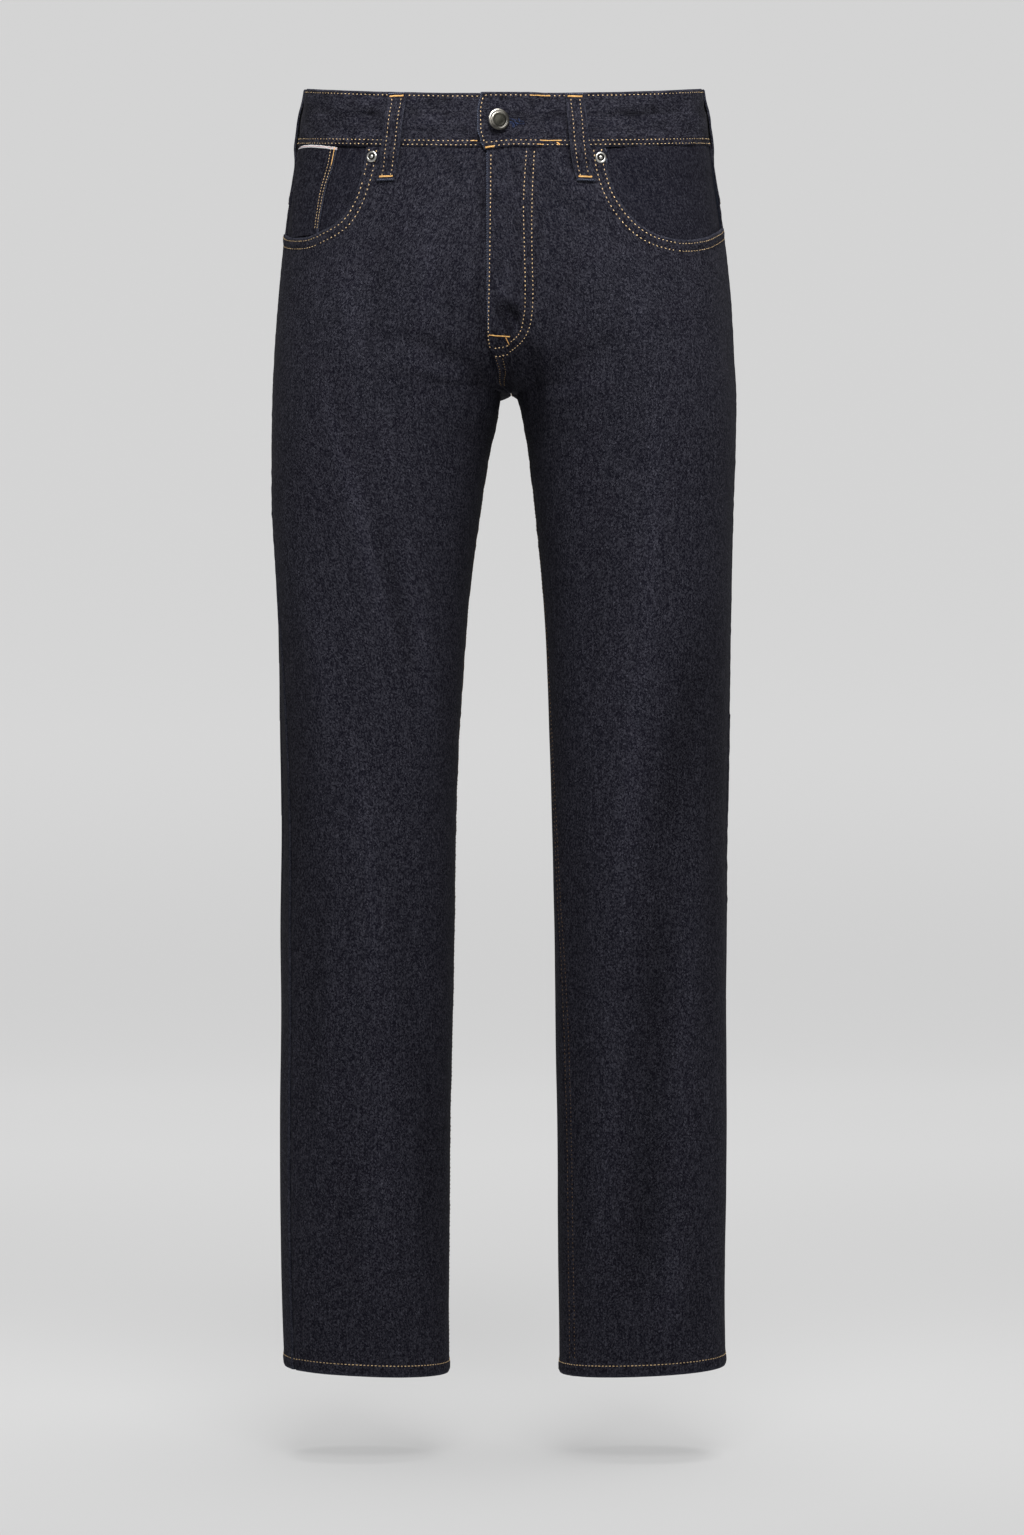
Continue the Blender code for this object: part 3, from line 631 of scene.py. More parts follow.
def sewn_rows(distance, along):
    """A lapped seam: its raised width, dips under two rows, and puckers between them."""
    if distance > 2.2 * FELL:
        return 0.0
    dip = -0.35 * (bell(distance - ROW_1, 1.2) + bell(distance - ROW_2, 1.3))
    body = DOUBLE * (1 - smooth_step(distance, FELL - 1, FELL + 3))
    pucker = SEAM_PUCKER * noise_at(along / 5.5, 7.3, 0)
    return dip + body + pucker * bell(distance - 5, 6)


# Puckers beside a side seam: the drops they begin between, and their noise's offsets.
SIDE_PUCKERS = {"front": (120, 160, 3.1, 2), "back": (60, 100, 5.9, 8)}


def side_seam_lift(panel, side, length, drop):
    """The side seam: pressed open, a groove on the right and a ridge on the left."""
    start, end, across, seed = SIDE_PUCKERS[panel]
    from_side = row_width(panel, side, drop) - length
    lift = rolled(from_side, 1.3, 1.7) if side < 0 else 0.7 * bell(from_side, 14)
    lift += DOUBLE * bell(from_side - 3, 3)
    pucker = bell(from_side - 4, 5) * smooth_step(drop, start, end)
    return lift + SEAM_PUCKER * pucker * noise_at(drop / 7.0, side * across, seed)


def front_lift(side, length, drop, x):
    """What sewing does to a front: fly, lapped inseam, rolled side and pocket edge."""
    lift = side_seam_lift("front", side, length, drop)
    if drop > FORK + 2:
        lift += rolled(length, 0.5, 1.2) + sewn_rows(length, drop)
    elif side > 0:    # the fly: its doubled cloth, its folded edge, puckers at its rows
        flat = FLY_FLAT + (FORK_X - FLY_FLAT) * smooth_step(drop, FLY_END - 8, LAP_END)
        fade = 1 - smooth_step(drop, LAP_END, FORK - 4)
        near = smooth_step(x, flat, flat + FLY_RAMP)
        far = smooth_step(x, flat, flat + 8 * FLY_RAMP)
        lift += FLY_PROUD * fade * (1 - 0.55 * near - 0.45 * far)
        lift += rolled(length, 0.7, 1.4)
        lift -= 0.3 * bell(length - 2.2, 1.0)
        lift += 0.7 * bell(length - 5, 7) * noise_at(drop / 6.0, length / 9, 5)
        lift += 0.9 * bell(x - 17, 8) * noise_at(drop / 7.0, x / 8, 12) * fade
        if drop > FLY_END:
            lift += 0.7 * sewn_rows(length, drop) * smooth_step(drop, FLY_END, LAP_END)
    elif drop > FLY_END:    # the right front sinks under the lap
        lift += rolled(length, 3.6, 5.5) * smooth_step(drop, FLY_END, LAP_END)
    if drop < 150 and length > scoop_line(side)[0][0] - 25:    # the pocket's edge
        far = distance_to(scoop_line(side), length, drop)
        lift += rolled(far, 0.9, 1.6)
        lift += 0.8 * (1 - smooth_step(far, 6, 13))
        lift -= 0.3 * (bell(far - POCKET_ROW_1, 1.1) + bell(far - POCKET_ROW_2, 1.2))
        lift += 0.8 * bell(far - 6, 6) * noise_at(length / 6, drop / 6, 9)
    return lift + hem_lift(hem_drop(side, x) - drop, length)


HEM_REACH = 26.0     # nothing of the hem shows higher than this
ROPING = 0.22


def hem_lift(above, along):
    """The hem: a doubled edge, its roping, and the row of stitches above it."""
    if above > HEM_REACH:
        return 0.0
    lift = rolled(above, 1.1, 2.4)
    lift += 0.7 * (1 - smooth_step(above, HEM_ROW, HEM_ROW + 3))
    lift -= 0.5 * bell(above - HEM_ROW, 1.2)
    rope = math.sin(along / 2.3 + above * 0.5 + 2 * noise_at(along / 16, 0, 3))
    return lift + ROPING * rope * bell(above - 4.5, 4.0)


def back_lift(side, length, drop, x):
    """What sewing does to a back: rolled side, seat seam and the inseam it passes under."""
    lift = side_seam_lift("back", side, length, drop)
    if drop <= FORK + 2 and side > 0:
        lift += rolled(length, 0.5, 1.2) + sewn_rows(length, drop)
    else:
        lift += rolled(length, 0.9, 3.0)
    return lift + hem_lift(hem_drop(side, x) - drop, -length)


LIFTS = {"front": front_lift, "back": back_lift}


def on_panel(panel, side, length, drop, lift=0.0, sewn=True):
    """A point this much cloth away from a panel's inner edge, moved out by a lift."""
    point, normal = at_length(panel, side, length, drop)
    if sewn:
        lift += LIFTS[panel](side, length, drop, point.x)
    return point + normal * lift


# Each panel has its own stretch of the cloth's coordinates, and this is above them all.
UV_START = {("front", 1): 0.6, ("front", -1): 1.2, ("back", 1): 1.8, ("back", -1): 2.4}
UV_TOP = 1.1


def face_uv(panel, side, length, drop):
    """Cloth coordinates in metres along the grain, measured from the side seam."""
    out = side if panel == "front" else -side
    from_side = row_width(panel, side, drop) - length
    return UV_START[panel, side] - out * from_side * MM, UV_TOP - drop * MM


def spaced(total, near, step):
    """Distances over a length, close at both ends and even between."""
    ends = [d for d in near if d < total / 2]
    count = max(round((total - 2 * ends[-1]) / step), 1)
    middle = [ends[-1] + (total - 2 * ends[-1]) * k / count for k in range(1, count)]
    return ends + middle + [total - d for d in reversed(ends)]


NEAR_SEAM = (0, 0.7, 1.8, 3.2, 5.2, 7.8, 10.5)


def face_outwards(bm):
    bmesh.ops.recalc_face_normals(bm, faces=bm.faces)
    if bm.calc_volume(signed=True) < 0:
        bmesh.ops.reverse_faces(bm, faces=bm.faces)


def cloth_mesh(columns, rows, place, ring=False, shade=None):
    """A grid of cloth. place(column, row) gives a point, its cloth coordinates and its wear,
    with the painted highlight beside the side seams added in; shade(point) gives the painted
    shade and light there, for a fold from how far it raises it. In a ring the last row meets
    the first."""
    bm = bmesh.new()
    bmesh.ops.create_grid(bm, x_segments=columns - 1, y_segments=rows - 1, size=1.0)
    wear_and_highlight_of = bm.verts.layers.float.new("worn")
    shade_of = bm.verts.layers.float.new("shade")
    uv_of = {}
    for v in bm.verts:
        column = round((v.co.x + 1) / 2 * (columns - 1))
        row = round((v.co.y + 1) / 2 * (rows - 1))
        point, uv, worn = place(column, row)
        v.co = point * MM
        v[wear_and_highlight_of] = worn
        v[shade_of] = shade(point) if shade else 0.0
        uv_of[v] = uv
    layer = bm.loops.layers.uv.new("cloth")
    for face in bm.faces:
        for loop in face.loops:
            loop[layer].uv = uv_of[loop.vert]
    if ring:
        bmesh.ops.remove_doubles(bm, verts=bm.verts, dist=0.03 * MM)
        bmesh.ops.holes_fill(bm, edges=[e for e in bm.edges if e.is_boundary], sides=0)
        face_outwards(bm)
        return bm
    bm.normal_update()
    away = 0.0
    for face in bm.faces:
        at = face.calc_center_median()
        side = 1 if at.x > 0 else -1
        o = oval(side, min(WAIST_TOP - at.z / MM, LEG_END))
        middle = Vector((side * o.centre * MM, o.middle * MM, at.z))
        away += (at - middle).dot(face.normal)
    if away < 0:
        bmesh.ops.reverse_faces(bm, faces=bm.faces)
    return bm


def piece(name, bm, finish, thickness=None, back=None, sharp=60):
    """A finished mesh as an object, given its second face where it is a sheet of cloth."""
    mesh = bpy.data.meshes.new(name)
    bm.to_mesh(mesh)
    bm.free()
    mesh.shade_smooth()
    mesh.set_sharp_from_angle(angle=math.radians(sharp))
    mesh.materials.append(finish)
    made = bpy.data.objects.new(name, mesh)
    bpy.context.scene.collection.objects.link(made)
    if thickness:
        wall = made.modifiers.new("second_face", "SOLIDIFY")
        wall.thickness = thickness * MM
        wall.offset = -1
        if back:
            mesh.materials.append(back)
            wall.material_offset = 1
    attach(made, "root")
    return made


class Value:
    """A socket whose sums are written as they are in arithmetic."""

    def __init__(self, finish, socket):
        self.finish, self.socket = finish, socket

    def made(self, operation, *values):
        return self.finish.node("ShaderNodeMath", {"operation": operation}, *values)

    def __add__(self, other):
        return self.made("ADD", self, other)

    def __radd__(self, other):
        return self.made("ADD", other, self)

    def __sub__(self, other):
        return self.made("SUBTRACT", self, other)

    def __rsub__(self, other):
        return self.made("SUBTRACT", other, self)

    def __mul__(self, other):
        return self.made("MULTIPLY", self, other)

    def __rmul__(self, other):
        return self.made("MULTIPLY", other, self)

    def __truediv__(self, other):
        return self.made("DIVIDE", self, other)

    def limited(self, low=0.0, high=1.0):
        return self.made("MINIMUM", self.made("MAXIMUM", self, low), high)

    def wave(self):
        return self.made("SINE", self)

    def size(self):
        return self.made("ABSOLUTE", self)

    def step(self, start, end):
        """Rises smoothly from 0 at start to 1 at end."""
        return self.finish.node(
            "ShaderNodeMapRange", {"interpolation_type": "SMOOTHSTEP"},
            self, start, end, 0.0, 1.0
        )


class Finish:
    """A material being mixed: its nodes, and the shader they feed."""

    def __init__(self, name, **constants):
        self.material = bpy.data.materials.new(name)
        self.material.use_nodes = True
        self.tree = self.material.node_tree
        self.shader = self.tree.nodes["Principled BSDF"]
        for socket, value in constants.items():
            self.shader.inputs[socket.replace("_", " ")].default_value = value

    def node(self, kind, settings, *values, out=0, **named):
        made = self.tree.nodes.new(kind)
        for key, value in (settings or {}).items():
            setattr(made, key, value)
        for key, value in [*enumerate(values), *named.items()]:
            socket = made.inputs[key if isinstance(key, int) else key.replace("_", " ")]
            if isinstance(value, Value):
                self.tree.links.new(value.socket, socket)
            else:
                socket.default_value = value
        return Value(self, made.outputs[out])

    def split(self, vector):
        return tuple(
            self.node("ShaderNodeSeparateXYZ", None, vector, out=k) * 1000.0
            for k in range(3)
        )

    def cloth_coordinates(self):
        """The two cloth coordinates, in millimetres."""
        return self.split(self.node("ShaderNodeUVMap", {"uv_map": "cloth"}))[:2]

    def coordinates(self):
        """The object's own coordinates, in millimetres."""
        return self.split(self.node("ShaderNodeTexCoord", None, out=3))

    def attribute(self, name):
        return self.node("ShaderNodeAttribute", {"attribute_name": name}, out=2)

    def vector(self, x, y, z=0.0):
        return self.node("ShaderNodeCombineXYZ", None, x, y, z)

    def cloud(self, x, y, z, detail=2.0, roughness=0.5):
        """Soft noise about 0.5, over coordinates that are already in its own sizes."""
        return self.node(
            "ShaderNodeTexNoise", {"noise_dimensions": "3D"},
            Vector=self.vector(x, y, z), Scale=1.0, Detail=detail, Roughness=roughness
        )

    def spots(self, x, y):
        """The distance to the nearest of scattered points."""
        return self.node(
            "ShaderNodeTexVoronoi", {"voronoi_dimensions": "2D"},
            Vector=self.vector(x, y), Scale=1.0
        )

    def speckle(self, x, y):
        """Small uneven cells, each of its own value from 0 to 1."""
        cells = self.node(
            "ShaderNodeTexVoronoi", {"voronoi_dimensions": "2D"},
            out=1, Vector=self.vector(x, y), Scale=1.0
        )
        return self.node("ShaderNodeSeparateXYZ", None, cells)

    def mix(self, share, first, second):
        made = self.tree.nodes.new("ShaderNodeMix")
        made.data_type = "RGBA"
        for index, value in ((0, share), (6, first), (7, second)):
            if isinstance(value, Value):
                self.tree.links.new(value.socket, made.inputs[index])
            else:
                made.inputs[index].default_value = value
        return Value(self, made.outputs[2])

    def scaled(self, tint, factor):
        return self.node(
            "ShaderNodeVectorMath", {"operation": "SCALE"}, tint, Scale=factor
        )

    def feed(self, socket, value):
        self.tree.links.new(value.socket, self.shader.inputs[socket])

    def bump(self, height_value, depth):
        """Height in shares of a depth in millimetres."""
        self.feed("Normal", self.node(
            "ShaderNodeBump", None, Strength=1.0, Distance=depth * MM, Height=height_value
        ))


def colour(red, green, blue):
    return (red, green, blue, 1.0)


WALE = 1.55          # the twill's diagonal lines, across
PICK = 1.6           # and down
INDIGO = colour(0.0034, 0.0032, 0.0071)
WEFT = colour(0.066, 0.0655, 0.083)
FOLD_PAINTED_SHADE = 0.085    # painted shade and light: a raised fold is painted paler and a sunk one darker, by this for a millimetre
PUCKER_PAINTED_SHADE = 3.4    # and the puckers beside the fly are painted as light and as dark as a fold of this
# the pale of frayed edges, and of the painted highlight beside the side seams
FRAY_AND_HIGHLIGHT = colour(0.13, 0.15, 0.21)
REVERSE = colour(0.10, 0.115, 0.16)
WHITE = colour(0.68, 0.68, 0.68)
SELVEDGE_LINE = colour(0.45, 0.20, 0.21)


def denim(name, warp=INDIGO, weft=WEFT, crosswise=False, selvedge=False, shift=0.0):
    """Raw twill: dark warp, with the pale weft showing in flecks between its lines."""
    f = Finish(name, Sheen_Weight=0.0)
    f.shader.inputs["Specular IOR Level"].default_value = 0.06
    u, v = f.cloth_coordinates()
    from_top = v * -1.0 if selvedge else None
    if crosswise:
        u, v = v, u
    u, v = u + shift, v + shift * 0.7
    # The twill's lines, specks of weft between them, uneven yarns and wider faded bands.
    wander = f.cloud(u / 9.0, v / 14.0, 3.0) * 1.4
    line = ((u / WALE + v / PICK + wander) * (2 * math.pi)).wave() * 0.5 + 0.5
    speck = f.speckle(u / 0.8, v / 1.15)
    fleck = f.cloud(u / 1.3, v / 1.6, 1.0, detail=2.0, roughness=0.6)
    streak = f.cloud(u / 1.4, v / 26.0, 5.0, detail=3.0, roughness=0.65)
    band = f.cloud(u / 6.0, v / 190.0, 9.0, detail=2.0)
    yarn = f.cloud(u / 0.9, v / 9.0, 7.0, detail=1.0)
    pale = speck * (speck + 0.5) * 0.41 + (fleck * 1.6 + line * 0.5 - 0.85).limited() * 0.05
    pale = pale * (0.5 + yarn.step(0.25, 0.75) * 0.4 + streak.step(0.3, 0.75) * 0.4)
    lint = f.spots(u / 19.0, v / 24.0)    # a fleck of undyed cotton here and there
    share = pale + streak.step(0.45, 0.85) * 0.085 + band.step(0.4, 0.8) * 0.03
    share = (share + (1.0 - lint.step(0.020, 0.034)) * 0.6).limited()
    base = f.mix(share, warp, weft)
    # Painted shade and light: the shade attribute darkens the cloth in folds and puckers and
    # lightens it on raised folds.
    base = f.scaled(base, (1.0 + f.attribute("shade") * FOLD_PAINTED_SHADE).limited(0.4, 1.5))
    # Edges where the dye is rubbed off show the cotton's core. The same pale is a painted
    # highlight along the side seams' ridges.
    worn = f.attribute("worn")
    wear_and_highlight_share = (worn * (line * 0.9 + fleck * 1.4 - 0.75)).limited()
    base = f.mix(wear_and_highlight_share, base, FRAY_AND_HIGHLIGHT)
    if selvedge:
        fray = (f.cloud(u / 1.2, v / 3.0, 8.0) - 0.5) * 0.8
        depth = from_top + fray
        band_share = 1.0 - depth.step(1.9, 2.4)
        middle = 1.0 - (depth - 1.0).size().step(0.1, 0.35)
        ribs = 0.75 + 0.25 * (u / 0.9 * 2 * math.pi).wave()
        white = f.mix(ribs * 0.9, colour(0.2, 0.2, 0.21), WHITE)
        base = f.mix(band_share, base, f.mix(middle, white, SELVEDGE_LINE))
    f.feed("Base Color", base)
    f.feed("Roughness", (0.84 + fleck * 0.12).limited(0.6, 1.0))
    f.bump(line * 0.5 + fleck * 0.2 + speck * 0.4 + streak * 0.6, 0.16)
    return f.material


denim_cloth = denim("indigo_denim")
reverse_cloth = denim("denim_reverse", warp=REVERSE, weft=colour(0.2, 0.21, 0.24))


LEVEL = 160.0        # from this drop on, a panel's rows lie level
ROWS_AT_FORK = [239.5, 242.5, 245.5, 248, 250, 251.7, 253, 253.61, 254, 254.6, 256, 258.5,
                262]
ROWS_AT_HEM = [1048, 1051.5, 1054, 1055.6, 1057, 1058.4, 1060, 1062, 1064, 1065.4, LEG_END]


def panel_rows(near_top):
    """Shares of the upper part of a panel's columns, and the drops of the rows below it."""
    upper = [d / 90.0 for d in spaced(90.0, near_top, 4.5)][:-len(near_top)]
    lower = [LEVEL + 4.5 * k for k in range(18)] + ROWS_AT_FORK
    lower += [266 + 4.4 * k for k in range(178)]
    return upper, [d for d in lower if d < 1046] + ROWS_AT_HEM


def apart(shares, least):
    """Shares from 0 to 1 moved so that none lies nearer to the next than the least."""
    moved = list(shares)
    for k in range(1, len(moved)):
        moved[k] = max(moved[k], moved[k - 1] + least)
    moved[-1] = 1.0
    for k in reversed(range(len(moved) - 1)):
        moved[k] = min(moved[k], moved[k + 1] - least)
    moved[0] = 0.0
    return moved


NARROWEST = 0.0045   # column, as a share of a panel's width


def leg_panel(panel, side, shares, tops, worn_at):
    """One layer of denim from its top edge down to the hem."""
    upper, lower = panel_rows((0, 0.5, 1.4, 3.0, 5.5))
    even = apart(shares, NARROWEST)

    def place(column, row):
        way = upper[row] if row < len(upper) else 1.0
        share = shares[column] + (even[column] - shares[column]) * smooth_step(way, 0, 0.9)
        drop = tops[column] + (LEVEL - tops[column]) * way
        if row >= len(upper):
            drop = lower[row - len(upper)]
        length = length_at(panel, side, share, drop)
        x = at_length(panel, side, length, drop)[0].x
        drop += (hem_drop(side, x) - LEG_END) * smooth_step(drop, 1040, LEG_END)
        from_side = row_width(panel, side, drop) - length
        worn = worn_at(length, drop) + 0.2 * bell(hem_drop(side, x) - drop - 0.6, 1.4)
        # A pale line beside the side seam: a painted highlight on its ridge.
        worn += 0.14 * bell(from_side - 1.2, 1.6) * smooth_step(drop, 250, 420)
        point = on_panel(panel, side, length, drop)
        return point, face_uv(panel, side, length, drop), worn

    # Painted shade and light for the cloth's colour, from how far the folds raise it here.
    def shade(point):
        drop = min(WAIST_TOP - point.z, LEG_END)
        rise = fold_rise(point.x, point.y, drop, oval(side, round(drop)).middle)
        # Puckers beside the fly that are only painted, as shade and light.
        if panel == "front" and drop < LAP_END:
            near_fly = bell(point.x - 5, 17) + 0.4
            rise += PUCKER_PAINTED_SHADE * near_fly * noise_at(point.x / 7, drop / 11, 41)
        return rise

    return cloth_mesh(len(shares), len(upper) + len(lower), place, shade=shade)


def front_panel(side, word):
    """A front: columns from fly or inseam to the side, ending along the pocket's edge."""
    scoop = scoop_line(side)
    start = scoop[0][0]
    width = row_width("front", side, 70.0)
    inner = [d for d in spaced(start, NEAR_SEAM, CELL) if d < start - 3]
    shares = [d / width for d in inner]
    tops = [seam_drop("front", side, s) for s in shares]
    for length, drop in scoop:
        shares.append(length / row_width("front", side, drop))
        tops.append(drop)

    def worn_at(length, drop):
        worn = 0.12 * bell(distance_to(scoop, length, drop) - 0.8, 1.2) if drop < 140 else 0.0
        if side > 0 and drop < FLY_END:
            worn += 0.5 * bell(length - 0.3, 1.2)
        return worn

    bm = leg_panel("front", side, shares, tops, worn_at)
    return piece("front_panel_" + word, bm, denim_cloth, CLOTH, reverse_cloth)


def back_panel(side, word):
    """A back: columns from the seat seam or inseam to the side seam, under the yoke."""
    width = row_width("back", side, 130.0)
    shares = [d / width for d in spaced(width, NEAR_SEAM, CELL + 0.4)]
    tops = [yoke_seam(s) + GAP for s in shares]
    bm = leg_panel("back", side, shares, tops, lambda length, drop: 0.0)
    return piece("back_panel_" + word, bm, denim_cloth, CLOTH, reverse_cloth)


# Thread: each stitch is a short length of twisted thread that dips into the cloth.
GOLD = colour(0.86, 0.61, 0.33)
ORANGE = colour(0.80, 0.45, 0.15)
BROWN = colour(0.16, 0.10, 0.055)
PALE_BLUE = colour(0.17, 0.20, 0.29)
BLUE = colour(0.075, 0.125, 0.30)


def thread(name, main, painted_shade_from=None):
    """Thread with its twist, some of it rubbed or darkened; painted shade makes it duller
    round the sides.
    """
    f = Finish(name, Sheen_Weight=0.0)
    f.shader.inputs["Specular IOR Level"].default_value = 0.2
    x, y, z = f.coordinates()
    twist = ((x * 1.3 + z * 1.1 + y) * (2 * math.pi)).wave() * 0.5 + 0.5
    rubbed = f.cloud(x / 4.0, y / 4.0, z / 4.0, detail=3.0)
    share = twist * 0.25 + rubbed.step(0.5, 0.8) * 0.45
    # Painted shade: duller from painted_shade_from out to either side.
    if painted_shade_from:
        share = share + x.size().step(painted_shade_from, painted_shade_from + 28.0) * 0.45
    dark = tuple(c * 0.35 for c in main[:3]) + (1.0,)
    f.feed("Base Color", f.mix(share.limited(), main, dark))
    f.feed("Roughness", (0.5 + rubbed * 0.4).limited())
    f.bump(twist, 0.05)
    return f.material


gold_thread = thread("gold_thread", GOLD, painted_shade_from=120.0)
orange_thread = thread("orange_thread", ORANGE)
brown_thread = thread("brown_thread", BROWN)
PITCH = 3.5          # from stitch to stitch
STITCH = 1.5         # a stitch's length
TIGHT = 2.3          # and where the thread is pulled tight round the hips
THREAD = 0.84        # its width where it lies on the cloth
PROUD = 0.12         # its middle above the cloth


class Sewing:
    """Stitches set one after another along lines in the flat cloth."""

    def __init__(self, name):
        self.name = name
        self.meshes = []
        self.chance = random.Random(name)

    def stitch(self, bm, at, along, normal, long, wide):
        across = normal.cross(along).normalized()
        along = (along + across * self.chance.uniform(-0.09, 0.09)).normalized()
        size = Matrix.Diagonal((wide / 2 * MM, 0.3 * MM, long / 2 * MM))
        turn = Matrix((across, normal, along)).transposed() @ size
        bmesh.ops.create_uvsphere(
            bm, u_segments=6, v_segments=4, radius=1.0,
            matrix=Matrix.Translation(at * MM) @ turn.to_4x4()
        )

    def keep(self, bm):
        mesh = bpy.data.meshes.new(self.name)
        bm.to_mesh(mesh)
        bm.free()
        self.meshes.append(mesh)

    def row(self, place, line, pitch=PITCH, long=STITCH, wide=THREAD, slant=0.0):
        """place(a, b, lift) gives the cloth under each point of the line."""
        points = [place(a, b, PROUD) for a, b in line]
        far = [0.0]
        for p, q in zip(points, points[1:]):
            far.append(far[-1] + (q - p).length)
        bm = bmesh.new()
        k, at = 0, pitch * 0.6
        while at < far[-1] - 0.3 * pitch:
            while far[k + 1] < at:
                k += 1
            t = (at - far[k]) / (far[k + 1] - far[k])
            a, b = (p + (q - p) * t for p, q in zip(line[k], line[k + 1]))
            spot = place(a, b, PROUD)
            normal = (place(a, b, PROUD + 1) - spot).normalized()
            along = (points[k + 1] - points[k]).normalized()
            along = Matrix.Rotation(slant, 3, normal) @ along
            wobble = self.chance.uniform(0.88, 1.06)
            self.stitch(bm, spot, along, normal, long * wobble, wide)
            at += pitch * self.chance.uniform(0.98, 1.02)
        self.keep(bm)

    def bar(self, place, start, end, tall=2.1, pitch=0.75):
        """A bartack: satin stitches side by side across a line."""
        line = curve([start, end], 0.8)
        self.row(place, line, pitch, long=tall, wide=pitch * 1.5, slant=math.radians(76))

    def finish(self, material):
        bm = bmesh.new()
        for mesh in self.meshes:
            bm.from_mesh(mesh)
            bpy.data.meshes.remove(mesh)
        return piece(self.name, bm, material)


def panel_place(panel, side):
    return lambda length, drop, lift: on_panel(panel, side, length, drop, lift)


def along_x(panel, side, corners, step=1.5):
    """A smooth line through (x, drop) corners, in the flat cloth."""
    return curve([(length_to_x(panel, side, x, d), d) for x, d in corners], step)


# The fly's J of two rows, its edge row, and the rows that run into the crotch: x and drop.
J_INNER = [(18.3, 66.0), (16.0, 106.6), (16.8, 147.1), (17.8, 187.2), (16.9, 199.2),
           (12.7, 213.0), (1.3, 220.6), (-11.4, 223.6)]
J_OUTER = [(24.6, 66.0), (22.8, 106.6), (22.8, 147.1), (23.9, 187.2), (23.1, 199.2),
           (21.6, 207.6), (16.4, 217.4), (7.2, 224.2), (-2.5, 228.0), (-9.6, 229.2)]
EDGE_ROW = [(-10.3, 69.0), (-11.3, 147.1), (-11.7, 224.0)]


def front_stitches(side, word):
    place = panel_place("front", side)
    gold = Sewing("topstitching_front_" + word)
    edge = scoop_line(side)
    for distance in (POCKET_ROW_1, POCKET_ROW_2):
        line = beside(edge, distance)
        line = [p for p in line if 0 < p[0] < row_width("front", side, p[1])]
        half = int(len(line) * 0.55)
        gold.row(place, line[:half + 1], pitch=4.0, long=1.7)
        gold.row(place, line[half:], long=TIGHT, wide=0.66)
    made = []
    if side > 0:
        for corners in (J_INNER, J_OUTER, EDGE_ROW):
            gold.row(place, along_x("front", side, corners))
        tacks = Sewing("bartacks_fly")
        tacks.bar(place, *along_x("front", 1, [(-12.9, 213.6), (3.8, 213.6)], 99), tall=1.1)
        tacks.bar(place, *along_x("front", 1, [(0.4, 214.4), (3.0, 219.4)], 99), tall=0.8)
        made.append(tacks.finish(orange_thread))
        frays = Sewing("fly_edge_frays")
        line = curve([(0.35, 68.0), (0.35, 210.0)], 2.0)
        frays.row(place, line, 1.9, long=1.4, wide=0.38, slant=math.radians(-38))
        made.append(frays.finish(thread("pale_blue_thread", PALE_BLUE)))
        crotch = Sewing("crotch_rows")
        for length in (ROW_1 + 0.4, ROW_2 + 1.2):
            crotch.row(place, [(length, d) for d in range(229, 253, 2)])
        made.append(crotch.finish(thread("tan_thread", colour(0.26, 0.17, 0.085))))
    inseam = Sewing("inseam_rows_" + word)
    for length in (ROW_1, ROW_2 + 0.5):
        inseam.row(place, [(length, 264 + 4 * k) for k in range(199)], wide=0.6)
    made.append(inseam.finish(brown_thread))
    hem = Sewing("hem_row_" + word)
    for panel in ("front", "back"):
        hem_place = panel_place(panel, side)
        width = row_width(panel, side, LEG_END)
        line = []
        for k in range(int(width / 3) + 1):
            length = width * k / int(width / 3)
            x = at_length(panel, side, length, LEG_END)[0].x
            line.append((length, hem_drop(side, x) - HEM_ROW))
        hem.row(hem_place, line, pitch=3.1, long=2.0, wide=0.7)
    made.append(hem.finish(gold_thread))
    return [gold.finish(gold_thread)] + made


def seat_stitches():
    """Two rows beside the seat seam, all of them on the left back."""
    seat = Sewing("seat_seam_rows")
    for length in (ROW_1, ROW_2):
        line = [(length, 112 + 3 * k) for k in range(48)]
        seat.row(panel_place("back", 1), line)
    return [seat.finish(gold_thread)]


for side, word in SIDES:
    front = front_panel(side, word)
    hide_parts("front_" + word)
    front_thread = front_stitches(side, word)
    back = back_panel(side, word)
    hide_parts("back_" + word)
    seat_stitches() if side > 0 else []

# ================================================================ yokes
# Two shaped pieces across the top of the seat, each lapped over its back panel and sewn
# down with two rows.
YOKE_ROW_1 = 2.5
YOKE_ROW_2 = 9.0


def yoke_lift(side, share, length, drop):
    lift = back_lift(side, length, drop, 0.0) + 0.25
    above = yoke_seam(share) - drop
    lift += rolled(above, 0.9, 1.5) + 0.5 * (1 - smooth_step(above, 9, 14))
    return lift - 0.3 * (bell(above - YOKE_ROW_1, 1.1) + bell(above - YOKE_ROW_2, 1.2))


def yoke(side, word):
    width = row_width("back", side, 80.0)
    shares = [d / width for d in spaced(width, NEAR_SEAM, CELL)]
    downs = [d / 55.0 for d in spaced(55.0, (0, 0.6, 1.4, 2.5, 4.2, 6.6, 9, 11), 4.2)]

    def place(column, row):
        share = shares[column]
        top = seam_drop("back", side, share) - 1.5
        drop = top + (yoke_seam(share) - top) * downs[row]
        length = length_at("back", side, share, drop)
        lift = yoke_lift(side, share, length, drop)
        worn = 0.15 * bell(yoke_seam(share) - drop - 0.5, 1.0)
        point = on_panel("back", side, length, drop, lift, sewn=False)
        return point, face_uv("back", side, length, drop), worn

    bm = cloth_mesh(len(shares), len(downs), place)
    return piece("back_yoke_" + word, bm, denim_cloth, CLOTH, reverse_cloth)


